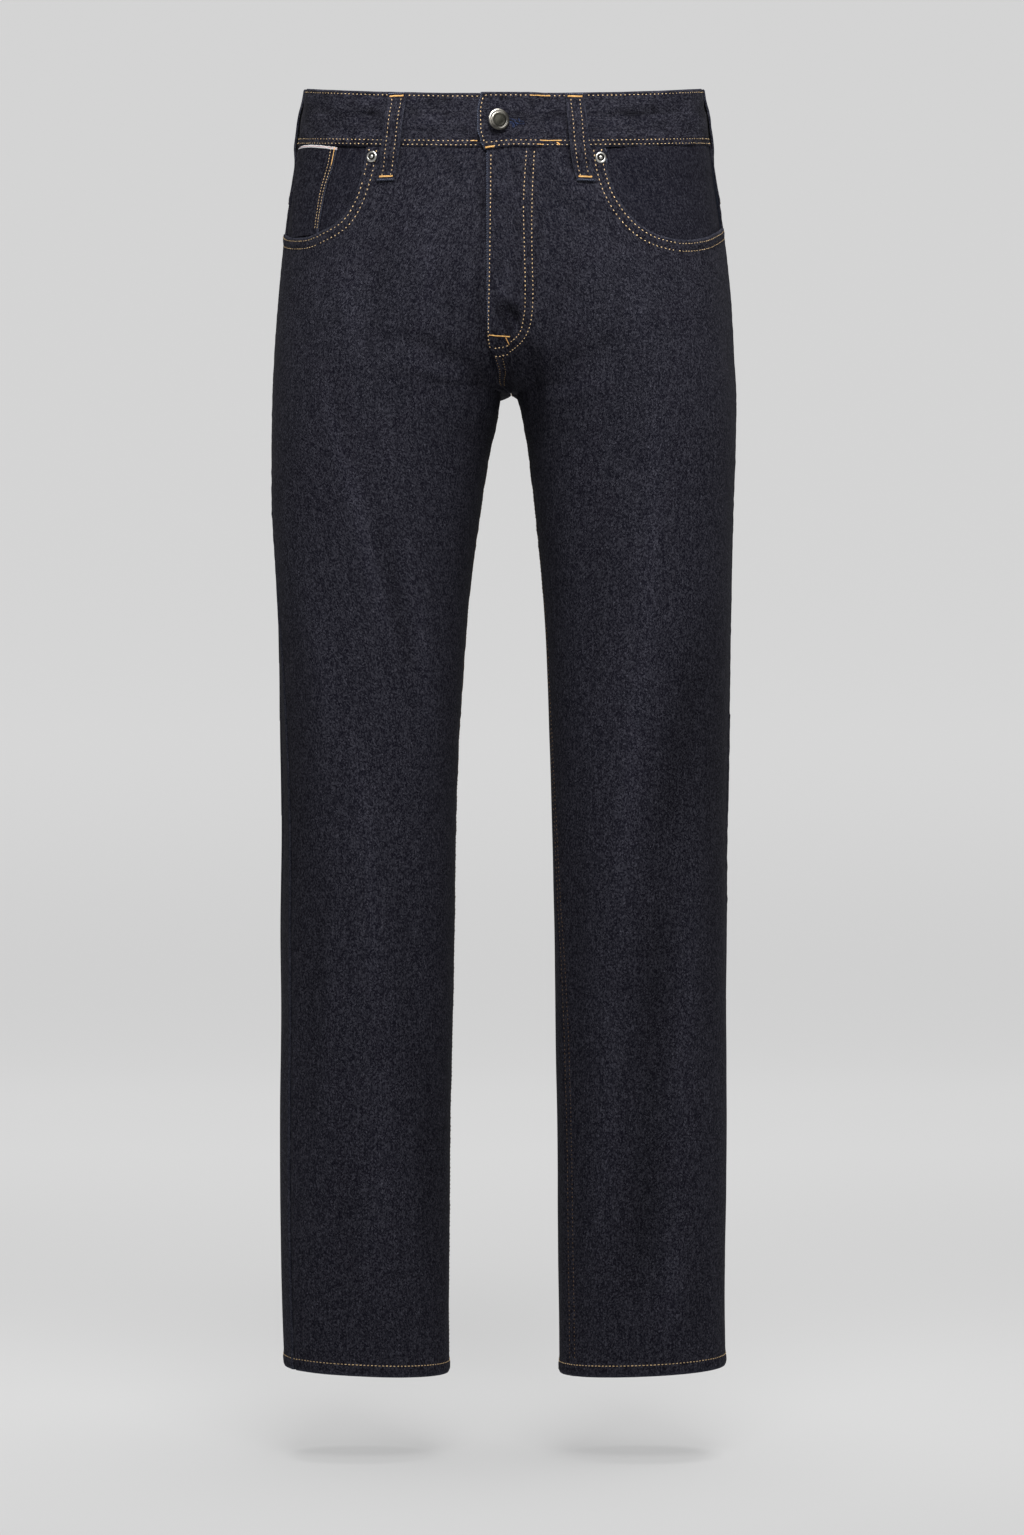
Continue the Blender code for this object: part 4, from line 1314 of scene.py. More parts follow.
def yoke_stitches(side, word):
    def place(share, drop, lift):
        length = length_at("back", side, share, drop)
        lift += yoke_lift(side, share, length, drop)
        return on_panel("back", side, length, drop, lift, sewn=False)

    sewing = Sewing("topstitching_yoke_" + word)
    shares = [0.01 + 0.98 * k / 60 for k in range(61)]
    for above in (YOKE_ROW_1, YOKE_ROW_2):
        sewing.row(place, [(s, yoke_seam(s) - above) for s in shares])
    if side > 0:
        width = row_width("back", side, 80.0)
        for length in (ROW_1, ROW_2):
            share = length / width
            sewing.row(place, [(share, 38 + 3 * k) for k in range(24)])
    return [sewing.finish(gold_thread)]


for side, word in SIDES:
    made = yoke(side, word)
    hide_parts("yoke_" + word)
    yoke_stitches(side, word)

# ================================================================ pocket facings
# The denim seen behind each front pocket's opening, from the waistband down to below the
# opening's edge. The coin pocket lies on the right one, its selvedge as its top edge.
FACING_END = 158.0
COIN_CLOTH = 1.0
SHADED_WEFT = colour(0.046, 0.046, 0.060)    # painted shade: in the pocket's mouth the weft is painted darker
facing_cloth = denim("facing_denim", weft=SHADED_WEFT, shift=12.0)


def facing(side, word):
    start = scoop_line(side)[0][0] - 14
    width = row_width("front", side, 70.0)
    shares = [start / width + (1 - start / width) * k / 26 for k in range(27)]
    rows = 25

    def place(column, row):
        share = shares[column]
        top = seam_drop("front", side, share) - 1.5
        drop = top + (FACING_END - top) * row / (rows - 1)
        length = length_at("front", side, share, drop)
        lift = INSIDE
        if side > 0:
            shown = smooth_step(length, start + 23, start + 38)
            lift *= 1 - 0.75 * shown * (1 - smooth_step(drop - top, 10, 34))
        point = on_panel("front", side, length, drop, lift, sewn=False)
        return point, face_uv("front", side, length + 40, drop), 0.0

    bm = cloth_mesh(len(shares), rows, place)
    return piece("pocket_facing_cloth_" + word, bm, facing_cloth, CLOTH, reverse_cloth)


# The coin pocket's four edges: x and drop of its inner edge, and of its outer one.
COIN_INNER = [(-136.6, 58.0), (-139.8, 74.0), (-146.6, 95.0), (-152.6, 129.0)]
COIN_OUTER = [(-170.6, 49.2), (-173.6, 74.0), (-175.4, 98.0), (-175.0, 128.0)]
COIN_ROWS = (1.6, 4.4)    # from its inner edge
COIN_WIDE = 33.0
COIN_TALL = 73.0
COIN_EDGES = [curve(edge, 1.0) for edge in (COIN_INNER, COIN_OUTER)]


def coin_spot(across, down, lift):
    """Across runs from the inner edge to the outer one, down from the selvedge."""
    ends = []
    for line in COIN_EDGES:
        at = min(max(down, 0), 1) * (len(line) - 1)
        k = min(int(at), len(line) - 2)
        ends.append([a + (b - a) * (at - k) for a, b in zip(line[k], line[k + 1])])
    x, drop = (a + (b - a) * across for a, b in zip(*ends))
    length = length_to_x("front", -1, x, drop)
    return on_panel("front", -1, length, drop, lift, sewn=False)


def coin_lift(across, down):
    from_inner, from_top = across * COIN_WIDE, down * COIN_TALL
    lift = INSIDE + 2 * GAP + COIN_CLOTH + 0.25
    lift += rolled(from_inner, 0.6, 1.2) + rolled(from_top, 0.6, 0.9)
    lift += 0.4 * bell(from_top, 6) * math.sin(math.pi * across)
    return lift - 0.2 * (bell(from_inner - COIN_ROWS[0], 0.9)
                         + bell(from_inner - COIN_ROWS[1], 0.9))


def coin_pocket():
    near = (0, 0.5, 1.4, 2.8, 4.4, 6.0)
    across = [d / COIN_WIDE for d in spaced(COIN_WIDE, near, 3.4)]
    down = [d / COIN_TALL for d in spaced(COIN_TALL, (0, 0.4, 1.2, 2.4, 3.6), 3.4)]

    def place(column, row):
        a, d = across[column], down[row]
        point = coin_spot(a, d, coin_lift(a, d))
        uv = (a * COIN_WIDE * MM, -d * COIN_TALL * MM)
        return point, uv, 0.3 * bell(a * COIN_WIDE - 0.3, 0.9)

    # The coin pocket's cloth has the same painted shade in its weft.
    cloth = denim("selvedge_denim", weft=SHADED_WEFT, selvedge=True)
    return piece("coin_pocket_cloth", cloth_mesh(len(across), len(down), place), cloth,
                 COIN_CLOTH)


def coin_stitches():
    sewing = Sewing("topstitching_coin_pocket")
    solid = Sewing("coin_pocket_backtack")

    def place(aside, down, lift):
        a, d = aside / COIN_WIDE, down / COIN_TALL
        return coin_spot(a, d, lift + coin_lift(a, d))

    for aside in COIN_ROWS:
        sewing.row(place, [(aside, 1 + 2 * k) for k in range(35)], pitch=2.5, long=1.7,
                   wide=0.6)
    solid.row(place, [(COIN_ROWS[0], 0.4 + k) for k in range(17)], pitch=1.5, long=2.4,
              wide=0.9)
    return [sewing.finish(gold_thread), solid.finish(orange_thread)]


for side, word in SIDES:
    made = facing(side, word)
    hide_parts("pocket_facing_" + word)
coin = coin_pocket()
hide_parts("coin_pocket")
coin_stitches()

# ================================================================ back pockets
# Two plain five-sided patch pockets, hemmed at the top, sewn on with two rows of stitches
# and a bartack at each top corner.
POCKET_NEAR = 33.0       # x of its inner and outer top corners
POCKET_FAR = 160.0
POCKET_NARROWS = 6.0
POCKET_TOP = 127.0
POCKET_SLOPE = 9.0
POCKET_HEIGHT = 122.0
POCKET_POINT = 20.0
POCKET_MOUTH_ROW = 13.0
POCKET_WIDE = 121.0      # in the flat cloth
POCKET_TALL = 135.0


def pocket_spot(side, across, down, lift):
    """Across runs outwards from the inner edge, down from the mouth to the point."""
    near = POCKET_NEAR + POCKET_NARROWS * down
    far = POCKET_FAR - POCKET_NARROWS * down
    x = near + (far - near) * across
    top = POCKET_TOP - POCKET_SLOPE * across
    point = POCKET_POINT * (1 - abs(2 * across - 1))
    drop = top + (POCKET_HEIGHT + point) * down
    length = length_to_x("back", side, side * x, drop)
    point, normal = at_length("back", side, length, drop)
    return point + normal * lift


def pocket_lift(across, down):
    wide = POCKET_FAR - POCKET_NEAR - 2 * POCKET_NARROWS * down
    tall = POCKET_HEIGHT + POCKET_POINT * (1 - abs(2 * across - 1))
    side_edge = min(across, 1 - across) * wide
    from_top, from_foot = down * tall, (1 - down) * tall
    lift = 2 * GAP + CLOTH + 0.2
    lift += rolled(side_edge, 1.2, 1.6) + rolled(from_foot, 1.2, 1.6)
    lift += rolled(from_top, 0.6, 1.2)
    lift += 0.5 * (1 - smooth_step(from_top, POCKET_MOUTH_ROW, POCKET_MOUTH_ROW + 3))
    lift += 1.4 * bell(from_top, 18) * math.sin(math.pi * across)
    edge = min(side_edge, from_foot)
    lift -= 0.3 * (bell(edge - ROW_1, 1.0) + bell(edge - ROW_2, 1.1))
    lift -= 0.3 * bell(from_top - POCKET_MOUTH_ROW, 1.1)
    return lift + 0.35 * noise_at(across * 9, down * 9, 4) * bell(edge - 5, 6)


def back_pocket(side, word):
    across = [d / POCKET_WIDE for d in spaced(POCKET_WIDE, NEAR_SEAM, 4.2)]
    near = (0, 0.6, 1.8, 4, 7.8, 11, 13, 15)
    down = [d / POCKET_TALL for d in spaced(POCKET_TALL, near, 4.2)]

    def place(column, row):
        a, d = across[column], down[row]
        point = pocket_spot(side, a, d, pocket_lift(a, d))
        uv = (side * -a * POCKET_WIDE * MM + 0.7, 0.3 - d * POCKET_TALL * MM)
        edge = min(a * POCKET_WIDE, (1 - a) * POCKET_WIDE, d * POCKET_TALL)
        return point, uv, 0.15 * bell(edge - 0.4, 1.1)

    bm = cloth_mesh(len(across), len(down), place)
    return piece("back_pocket_cloth_" + word, bm, denim_cloth, CLOTH)


def pocket_stitches(side, word):
    wide, tall = POCKET_WIDE, POCKET_TALL

    def place(a, d, lift):
        a, d = a / wide, d / tall
        return pocket_spot(side, a, d, lift + pocket_lift(a, d))

    sewing = Sewing("topstitching_back_pocket_" + word)
    for edge in (ROW_1, ROW_2):
        foot = tall - edge * 1.05
        sewing.row(place, curve([(edge, 1.0), (edge, foot - 2)], 2.5))
        sewing.row(place, curve([(edge, foot), (wide / 2, foot)], 2.5))
        sewing.row(place, curve([(wide / 2, foot), (wide - edge, foot)], 2.5))
        sewing.row(place, curve([(wide - edge, foot - 2), (wide - edge, 1.0)], 2.5))
    sewing.row(place, curve([(1, POCKET_MOUTH_ROW), (wide - 1, POCKET_MOUTH_ROW)], 2.5))
    tacks = Sewing("bartacks_back_pocket_" + word)
    for a in (1.2, wide - 9.2):
        tacks.bar(place, (a, 1.5), (a + 8, 1.5))
    return [sewing.finish(gold_thread), tacks.finish(orange_thread)]


for side, word in SIDES:
    made = back_pocket(side, word)
    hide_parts("back_pocket_" + word)
    pocket_stitches(side, word)

# ================================================================ waistband
# A folded band cut crosswise, one turn round. Its buttonhole end lies over its button end
# at the centre front. One row of stitches runs under its top edge and two along its seam.
BAND_WALL = 3.0
BAND_PROUD = 0.8     # how far its outer face stands off the form
BAND_LAP = BAND_WALL + 0.5
BAND_TALL = 45.8
# Where it begins, stops lying flat on the other end, and is down on the form again, and
# where it ends after one turn, in degrees round from the front.
OVER_END = -9.6
OVER_FLAT = 9.0
OVER_DOWN = 18.0
UNDER_END = 366.4
TURN_LENGTH = 2.36   # of the band, for one degree round
BAND_TOP_ROW = 2.9
BAND_ROWS = (1.9, 5.4)
SAG = 2.7            # the buttonhole end's lower corner hangs lower
CREASE_DOWN = 17     # the crease that bending has left runs this far below the top edge
# How far the buttonhole end's edge bows out, in degrees, at shares of the band's height.
BOW = [(0.0, 0.1), (0.33, -1.05), (0.65, -0.8), (0.85, 0.5), (1.0, 2.1)]


@lru_cache(maxsize=None)
def band_spot(turn):
    """Side, angle, and the drops of the band's two edges, at degrees from the front."""
    side = 1 if 0 <= turn < 180 or turn >= 360 else -1
    from_front = abs(turn) if turn < 180 else abs(360 - turn)
    angle = math.radians(90 - from_front)
    top, seam = 20.0, 60.0
    for _ in range(4):
        top = waist_edge(flat_point(side, angle, top)[1])
        seam = band_seam(flat_point(side, angle, seam)[1])
    if turn < 20:
        seam += SAG * (1 - smooth_step(turn, OVER_END, 4))
    return side, angle, top, seam


def band_outer(turn, from_top, from_seam):
    """How far the band's outer face stands off the form."""
    lift = BAND_PROUD + rolled(from_top, 1.1, 1.4) + rolled(from_seam, 0.9, 1.2)
    for far in (from_top - BAND_TOP_ROW, from_seam - BAND_ROWS[0],
                from_seam - BAND_ROWS[1]):
        lift -= 0.32 * bell(far, 1.0)
    along = turn * TURN_LENGTH
    seam_near = bell(from_seam - 4, 5) + bell(from_top - 3, 3)
    lift += 0.6 * noise_at(along / 5.0, from_top / 9, 6) * seam_near
    lift += 0.8 * noise_at(along / 30, from_top / 18, 11)
    lift += 0.5 * noise_at(along / 14, from_top / 6, 17)
    crease = from_top - CREASE_DOWN - 4 * noise_at(along / 35, 0, 21)
    lift -= 1.2 * bell(crease, 2.4) * smooth_step(noise_at(along / 50, 3, 23), -0.25, 0.3)
    if turn < 180:
        lift += BAND_LAP * (1 - smooth_step(turn, OVER_FLAT, OVER_DOWN))
        lift += rolled((turn - OVER_END) * TURN_LENGTH, 1.0, 1.8)
        lift -= 0.3 * bell((turn - OVER_END) * TURN_LENGTH - 3.2, 1.0)
    return lift


def bowed(turn, share):
    """The turn with the buttonhole end's edge bowed."""
    k = 0
    while k < len(BOW) - 2 and share > BOW[k + 1][0]:
        k += 1
    (s1, b1), (s2, b2) = BOW[k], BOW[k + 1]
    bow = b1 + (b2 - b1) * smooth_step(share, s1, s2)
    return turn + bow * (1 - smooth_step(turn, OVER_END, OVER_END + 12))


def on_band(turn, share, lift):
    """A point of the band's outer face, a share of the way down it."""
    real = bowed(turn, share) if turn < 20 else turn
    side, angle, top, seam = band_spot(round(real, 3))
    drop = top + (seam - top) * share
    lift += band_outer(turn, drop - top, seam - drop)
    point, normal = skin(side, angle, drop)
    return point + normal * lift


def waistband():
    outer = [d / BAND_TALL for d in (0, 0.3, 0.8, 1.5, 2.2, 2.9, 3.7, 5.0, 7.5, 11)]
    outer += [0.25 + 0.072 * k for k in range(1, 8)]
    outer += [1 - d / BAND_TALL for d in (8.8, 6.9, 5.4, 4.2, 3.1, 1.9, 1.0, 0.4, 0)]
    inner = [1.0, 0.97, 0.8, 0.6, 0.4, 0.2, 0.03, 0.0]
    section = [(s, 0.0) for s in outer]
    section += [(s, -BAND_WALL + (0.8 if s in (0.0, 1.0) else 0.0)) for s in inner]
    section.append(section[0])
    total = (UNDER_END - OVER_END) * TURN_LENGTH
    near = (0, 0.4, 1.0, 1.8, 3.2, 4.8)
    turns = [OVER_END + d / TURN_LENGTH for d in spaced(total, near, 3.2)]

    def place(column, row):
        turn, (share, lift) = turns[column], section[row]
        point = on_band(turn, share, lift)
        worn = 0.15 * bell(share * BAND_TALL - 0.5, 1.0)
        if turn < 0:
            worn += 0.6 * bell((turn - OVER_END) * TURN_LENGTH - 0.3, 1.2)
        return point, (turn * TURN_LENGTH * MM, -share * BAND_TALL * MM), worn

    # Painted shade and light on the band: the crease painted dark, puckers along its rows and
    # a wider mottle painted light and dark.
    def shade(point):
        x, drop = point.x, WAIST_TOP - point.z
        depth = drop - waist_edge(point.y)
        crease = bell(depth - CREASE_DOWN - 5 * noise_at(x / 40, 0, 21), 2.6)
        crease *= smooth_step(noise_at(x / 45, 3, 23), -0.3, 0.2)
        near_rows = bell(depth - 3, 4) + bell(BAND_TALL - depth - 4, 6)
        puckers = noise_at(x / 5, drop / 9, 31) * (2.0 + 5.0 * near_rows)
        return puckers + 4.5 * noise_at(x / 16, drop / 9, 33) - 5.0 * crease

    cloth = denim("band_denim", crosswise=True, shift=31.0)
    mesh = cloth_mesh(len(turns), len(section), place, ring=True, shade=shade)
    return piece("waistband_cloth", mesh, cloth)


def band_stitches():
    def place(along, down, lift):
        return on_band(along / TURN_LENGTH, down / BAND_TALL, lift)

    def row(sewing, start, end, down, **kind):
        line = [(start * TURN_LENGTH, down), (end * TURN_LENGTH, down)]
        sewing.row(place, curve(line, 2.5), **kind)

    end = OVER_END * TURN_LENGTH
    rows = (BAND_TOP_ROW, BAND_TALL - BAND_ROWS[1], BAND_TALL - BAND_ROWS[0])
    gold = Sewing("topstitching_waistband")
    for down in rows:
        row(gold, OVER_END + 1.2, 350.2, down, pitch=4.0, long=1.5, wide=0.76)
    gold.row(place, curve([(end + 3.2, BAND_TOP_ROW + 1), (end + 3.2, BAND_TALL - 3)], 2.5))
    thick = Sewing("waistband_backtacks")
    row(thick, 10.5, 19.0, rows[0], pitch=1.9, long=2.4, wide=1.0)
    row(thick, 14.0, 22.5, rows[1], pitch=1.8, long=2.5, wide=0.95)
    row(thick, 12.5, 16.0, rows[2], pitch=2.0, long=2.2, wide=0.9)
    row(thick, 347.0, 350.4, rows[1], pitch=1.9, long=2.2, wide=0.95)
    thick.bar(place, (20.3 * TURN_LENGTH, rows[2] - 1.8), (21.2 * TURN_LENGTH, rows[2]),
              tall=1.5)
    thick.bar(place, (end + 1.4, rows[2] + 0.4), (end + 11, rows[2] + 0.4), tall=1.8)
    frays = Sewing("waistband_end_frays")
    frays.row(place, curve([(end + 0.5, 2), (end + 0.5, BAND_TALL - 2)], 2.0),
              1.9, long=1.3, wide=0.3, slant=math.radians(40))
    return [gold.finish(gold_thread), thick.finish(orange_thread),
            frays.finish(bpy.data.materials["pale_blue_thread"])]


# The buttonhole: a slit with a keyhole round the button's shank, close blue stitches all
# round it and some of them frayed.
HOLE_DROP = 41.4
HOLE_START = -1.0
HOLE_END = 15.8


def front_turn(x, drop):
    side = 1 if x > 0 else -1
    return side * (90 - math.degrees(angle_at(side, abs(x), drop)))


def buttonhole():
    def place(x, drop, lift):
        turn = front_turn(x, drop)
        _, _, top, seam = band_spot(round(turn, 3))
        return on_band(turn, (drop - top) / (seam - top), lift)

    slit = Sewing("buttonhole_slit")
    slit.row(place, curve([(HOLE_START, HOLE_DROP), (HOLE_END - 1, HOLE_DROP + 3)], 1.0),
             pitch=1.2, long=2.6, wide=1.0)
    sewing = Sewing("buttonhole_stitches")
    for side in (-1, 1):
        line = [(HOLE_START, HOLE_DROP + side * 1.4), (HOLE_END - 1, HOLE_DROP + 3 + side),
                (HOLE_END, HOLE_DROP + 3)]
        sewing.row(place, curve(line, 1.0), pitch=0.8, long=1.8, wide=0.6,
                   slant=math.radians(84))
    frays = Sewing("buttonhole_frays")
    for _ in range(11):
        x = frays.chance.uniform(4.0, 12.0)
        drop = HOLE_DROP + frays.chance.uniform(-1.0, 6.5)
        lean, long = frays.chance.uniform(0.5, 3.0), frays.chance.uniform(1.6, 3.6)
        line = curve([(x, drop), (x + 0.5, drop + long / 2), (x + lean, drop + long)], 0.8)
        frays.row(place, line, pitch=0.9, long=1.3, wide=0.3)
    return [slit.finish(thread("slit_shadow", colour(0.004, 0.004, 0.006))),
            sewing.finish(thread("indigo_thread", colour(0.012, 0.017, 0.045))),
            frays.finish(thread("blue_thread", BLUE))]


band = waistband()
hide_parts("waistband")
band_stitches() + buttonhole()

# ================================================================ belt loops
# Five straps folded in three, each with two rows of stitches, tacked to the waistband's
# top edge and below its seam, and standing off between.
# Top and bottom are degrees round from its side to the front, off how far it stands out
# at its ends and rise how much more between them.
Loop = namedtuple("Loop", "name side top bottom off rise")
LOOPS = [
    Loop("belt_loop_front_left", 1, 62.1, 62.2, 2.0, 3.4),
    Loop("belt_loop_front_right", -1, 49.4, 49.7, 1.4, 3.4),
    Loop("belt_loop_side_left", 1, -6.5, -7.0, 2.4, 1.8),
    Loop("belt_loop_side_right", -1, -6.5, -7.0, 2.2, 2.0),
    Loop("belt_loop_back", 1, -90.0, -90.0, 1.4, 3.4),
]
LOOP_WIDTH = 15.0
LOOP_LENGTH = 72.0
LOOP_WALL = 1.8
LOOP_TOP = 1.0       # below the waistband's top edge
LOOP_TACK = 0.09     # shares of its length that are tacked down, and bent
LOOP_BEND = 0.34
LOOP_SETTLE = 0.8    # its foot lies this much closer
LOOP_ROW = 3.5       # the rows of stitches, to either side of its middle
LOOP_TACK_IN = 3.0   # the bartacks, in from its ends


def on_loop(loop, aside, down, lift):
    """A point of a strap, this far aside of its middle and down from its top."""
    way = down / LOOP_LENGTH
    angle = math.radians(loop.top + (loop.bottom - loop.top) * way)
    y = flat_point(loop.side, angle, 20)[1]
    drop = waist_edge(y) + LOOP_TOP + down
    x, y = flat_point(loop.side, angle, drop)
    radius = math.hypot(x, y - oval(loop.side, drop).middle)
    foot = smooth_step(way, 1 - LOOP_BEND, 1 - LOOP_TACK)
    off = loop.off + loop.rise * smooth_step(way, LOOP_TACK, LOOP_BEND) * (1 - foot)
    point, normal = skin(loop.side, angle + aside / radius, drop)
    return point + normal * (lift + off - LOOP_SETTLE * foot)


def loop_face(aside, down, seed):
    """The strap's outer face: folded edges, dips under rows and tacks, puckers."""
    end = min(down, LOOP_LENGTH - down)
    lift = LOOP_WALL + rolled(LOOP_WIDTH / 2 - abs(aside), 0.8, 1.2)
    lift += rolled(end, 0.7, 1.2)
    lift -= 0.3 * bell(abs(aside) - LOOP_ROW, 0.9)
    lift -= 0.5 * bell(end - LOOP_TACK_IN, 1.3) * (abs(aside) < 6.2)
    return lift + 0.45 * noise_at(aside / 5, down / 6, seed) * bell(abs(aside) - 5, 4)


def belt_loop(loop, cloth):
    half = LOOP_WIDTH / 2
    asides = [half, 7.2, 6.5, 5.6, 4.7, 3.9, 3.1, 1.6, 0]
    section = [(-a, 1) for a in asides] + [(a, 1) for a in reversed(asides[:-1])]
    section += [(a, 0) for a in (half - 0.2, 4, 0, -4, -half + 0.2)]
    section.append(section[0])
    downs = spaced(LOOP_LENGTH, (0, 0.4, 1.1, 2.0, 3.0, 4.0, 5.5), 2.6)
    seed = LOOPS.index(loop) * 7.1

    def place(column, row):
        down, (aside, outer) = downs[column], section[row]
        lift = loop_face(aside, down, seed) if outer else 0.0
        end = min(down, LOOP_LENGTH - down)
        worn = 0.12 * bell(half - abs(aside) - 0.3, 0.9) + 0.5 * bell(end - 0.2, 0.9)
        uv = (aside * MM + 0.02 * seed, -down * MM)
        return on_loop(loop, aside, down, lift), uv, worn

    bm = cloth_mesh(len(downs), len(section), place, ring=True)
    return piece(loop.name.replace("belt_loop", "belt_strap"), bm, cloth)


def loop_stitches(loop):
    seed = LOOPS.index(loop) * 7.1

    def place(aside, down, lift):
        return on_loop(loop, aside, down, lift + loop_face(aside, down, seed))

    short = loop.name[len("belt_loop_"):]
    gold = Sewing("topstitching_loop_" + short)
    for aside in (-LOOP_ROW, LOOP_ROW):
        gold.row(place, curve([(aside, 4.0), (aside, LOOP_LENGTH - 3.6)], 2.0), wide=0.66)
    tacks = Sewing("bartacks_loop_" + short)
    for down in (LOOP_TACK_IN, LOOP_LENGTH - LOOP_TACK_IN - 0.4):
        tacks.bar(place, (-5.6, down), (5.6, down), tall=1.7)
    frays = Sewing("loop_frays_" + short)
    for down in (0.9, LOOP_LENGTH - 0.9):
        line = [(-6.4 + 0.8 * k, down) for k in range(17)]
        frays.row(place, line, 1.7, long=1.2, wide=0.6)
    return [gold.finish(gold_thread), tacks.finish(orange_thread),
            frays.finish(bpy.data.materials["pale_blue_thread"])]


strap_denim = denim("strap_denim", shift=57.0)
for loop in LOOPS:
    made = belt_loop(loop, strap_denim)
    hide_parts(loop.name)
    loop_stitches(loop)

# ================================================================ hems
# The turned-up edge inside each leg's lower opening, of the same denim.
HEM_HEIGHT = 11.0


def hem(side, word):
    around = []
    for panel in ("front", "back"):
        width = row_width(panel, side, LEG_END)
        count = int(width / 5)
        lengths = [width * k / count for k in range(count + 1)]
        around += [(panel, n) for n in (lengths if panel == "front" else lengths[::-1])]
    inner = INSIDE - CLOTH
    section = [(0.0, INSIDE), (4.0, INSIDE), (HEM_HEIGHT, INSIDE), (HEM_HEIGHT, inner),
               (4.0, inner - 0.2), (1.0, inner), (0.0, inner + 0.4), (0.0, INSIDE)]

    def place(column, row):
        panel, length = around[column]
        above, lift = section[row]
        x = at_length(panel, side, length, LEG_END)[0].x
        drop = hem_drop(side, x) - above
        point = on_panel(panel, side, length, drop, lift, sewn=False)
        out = side if panel == "front" else -side
        return point, (out * length * MM, above * MM + lift * MM), 0.3 * bell(above, 2)

    bm = cloth_mesh(len(around), len(section), place)
    bmesh.ops.remove_doubles(bm, verts=bm.verts, dist=0.4 * MM)
    face_outwards(bm)
    return piece("hem_turn_up_" + word, bm, denim_cloth)


for side, word in SIDES:
    made = hem(side, word)
    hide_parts("hem_" + word)

# ================================================================ button and rivets
# A shank button of darkened nickel with a bright rim and a painted reflection on one side,
# and two rivets at the pockets' corners, each fixed through the cloth to a tack on the
# inside.
METAL_GAP = 0.5
TACK_ROOM = 1.7      # for a tack behind the cloth
BUTTON_X = -4.5
BUTTON_DROP = 42.8
BUTTON_PAINTED_GLINT = (-10.5, -12.5)    # x and z of the painted glint beside its rim, from the origin
BUTTON_TURN = 18.0   # degrees it has turned on its shank, towards the left
BUTTON_OUT = 1.4     # which holds it this much further out
RIVETS = {"left": (78.2, 71.1), "right": (-106.8, 68.8)}
BUTTON_PROFILE = [
    (0, 0), (5.0, 0), (7.4, 0.9), (8.3, 1.6), (8.7, 2.2), (8.65, 2.7), (8.2, 3.1),
    (7.5, 3.2), (7.0, 3.0), (6.6, 2.5), (6.2, 2.35), (5.9, 2.5), (5.65, 2.9),
    (5.3, 3.05), (4.9, 3.0), (4.6, 2.8), (3.0, 2.75), (1.5, 2.78), (0, 2.8),
]
TACK_PROFILE = [(0, 0), (4.4, 0), (4.8, 0.3), (4.8, 0.7), (3.0, 1.05), (0, 1.2)]
RIVET_PROFILE = [
    (0, 0), (4.1, 0), (4.5, 0.3), (4.6, 0.7), (4.3, 1.1), (3.7, 1.35), (3.1, 1.2),
    (2.7, 0.8), (2.5, 0.45), (1.95, 0.4), (1.75, 0.6), (1.6, 1.1), (1.2, 1.5),
    (0.6, 1.7), (0, 1.75),
]


def nickel(name, light, grime, rings, lit=None):
    """Worn metal: fine scratches, darkened between the given radii, and with a painted
    reflection that is brightest on the side where lit is, an x and z past its rim, and darker
    away from it."""
    f = Finish(name, Metallic=1.0)
    x, y, z = f.coordinates()
    radius = f.attribute("radius")
    dark = None
    for start, end in rings:
        ring = radius.step(start - 0.15, start + 0.15)
        ring = ring * (1.0 - radius.step(end - 0.15, end + 0.15))
        dark = ring if dark is None else dark + ring
    cloud = f.cloud(x / 1.6, y / 1.6, z / 1.6, detail=4.0, roughness=0.6)
    scratch = f.cloud(x / 0.25, y / 0.9, z / 2.2, detail=3.0)
    share = (dark * 0.97 + cloud.step(0.5, 0.8) * 0.25).limited()
    tone = f.mix(share, light, grime)
    # Painted reflection: brighter near the glint and darker away from it.
    if lit:
        away = (x - lit[0]) * (x - lit[0]) + (z - lit[1]) * (z - lit[1])
        tone = f.scaled(tone, 1.9 - away.step(9.0, 170.0) * 1.55)
    f.feed("Base Color", tone)
    f.feed("Roughness", (0.20 + scratch * 0.25 + dark * 0.2).limited(0.1, 0.9))
    f.bump(scratch * 0.6 + cloud * 0.4, 0.04)
    return f.material


def turned(name, profile, steps, base, normal, finish):
    """A profile of (radius, height) points spun round and set on the cloth."""
    bm = bmesh.new()
    points = [bm.verts.new((r * MM, 0, h * MM)) for r, h in profile]
    edges = [bm.edges.new(pair) for pair in zip(points, points[1:])]
    bmesh.ops.spin(bm, geom=points + edges, cent=(0, 0, 0), axis=(0, 0, 1),
                   angle=2 * math.pi, steps=steps, use_merge=True)
    bmesh.ops.remove_doubles(bm, verts=bm.verts, dist=0.01 * MM)
    face_outwards(bm)
    radius_of = bm.verts.layers.float.new("radius")
    for v in bm.verts:
        v[radius_of] = math.hypot(v.co.x, v.co.y) / MM
    turn = Vector((0, 0, 1)).rotation_difference(normal).to_matrix().to_4x4()
    bmesh.ops.transform(bm, matrix=Matrix.Translation(base * MM) @ turn, verts=bm.verts)
    return piece(name, bm, finish, sharp=50)


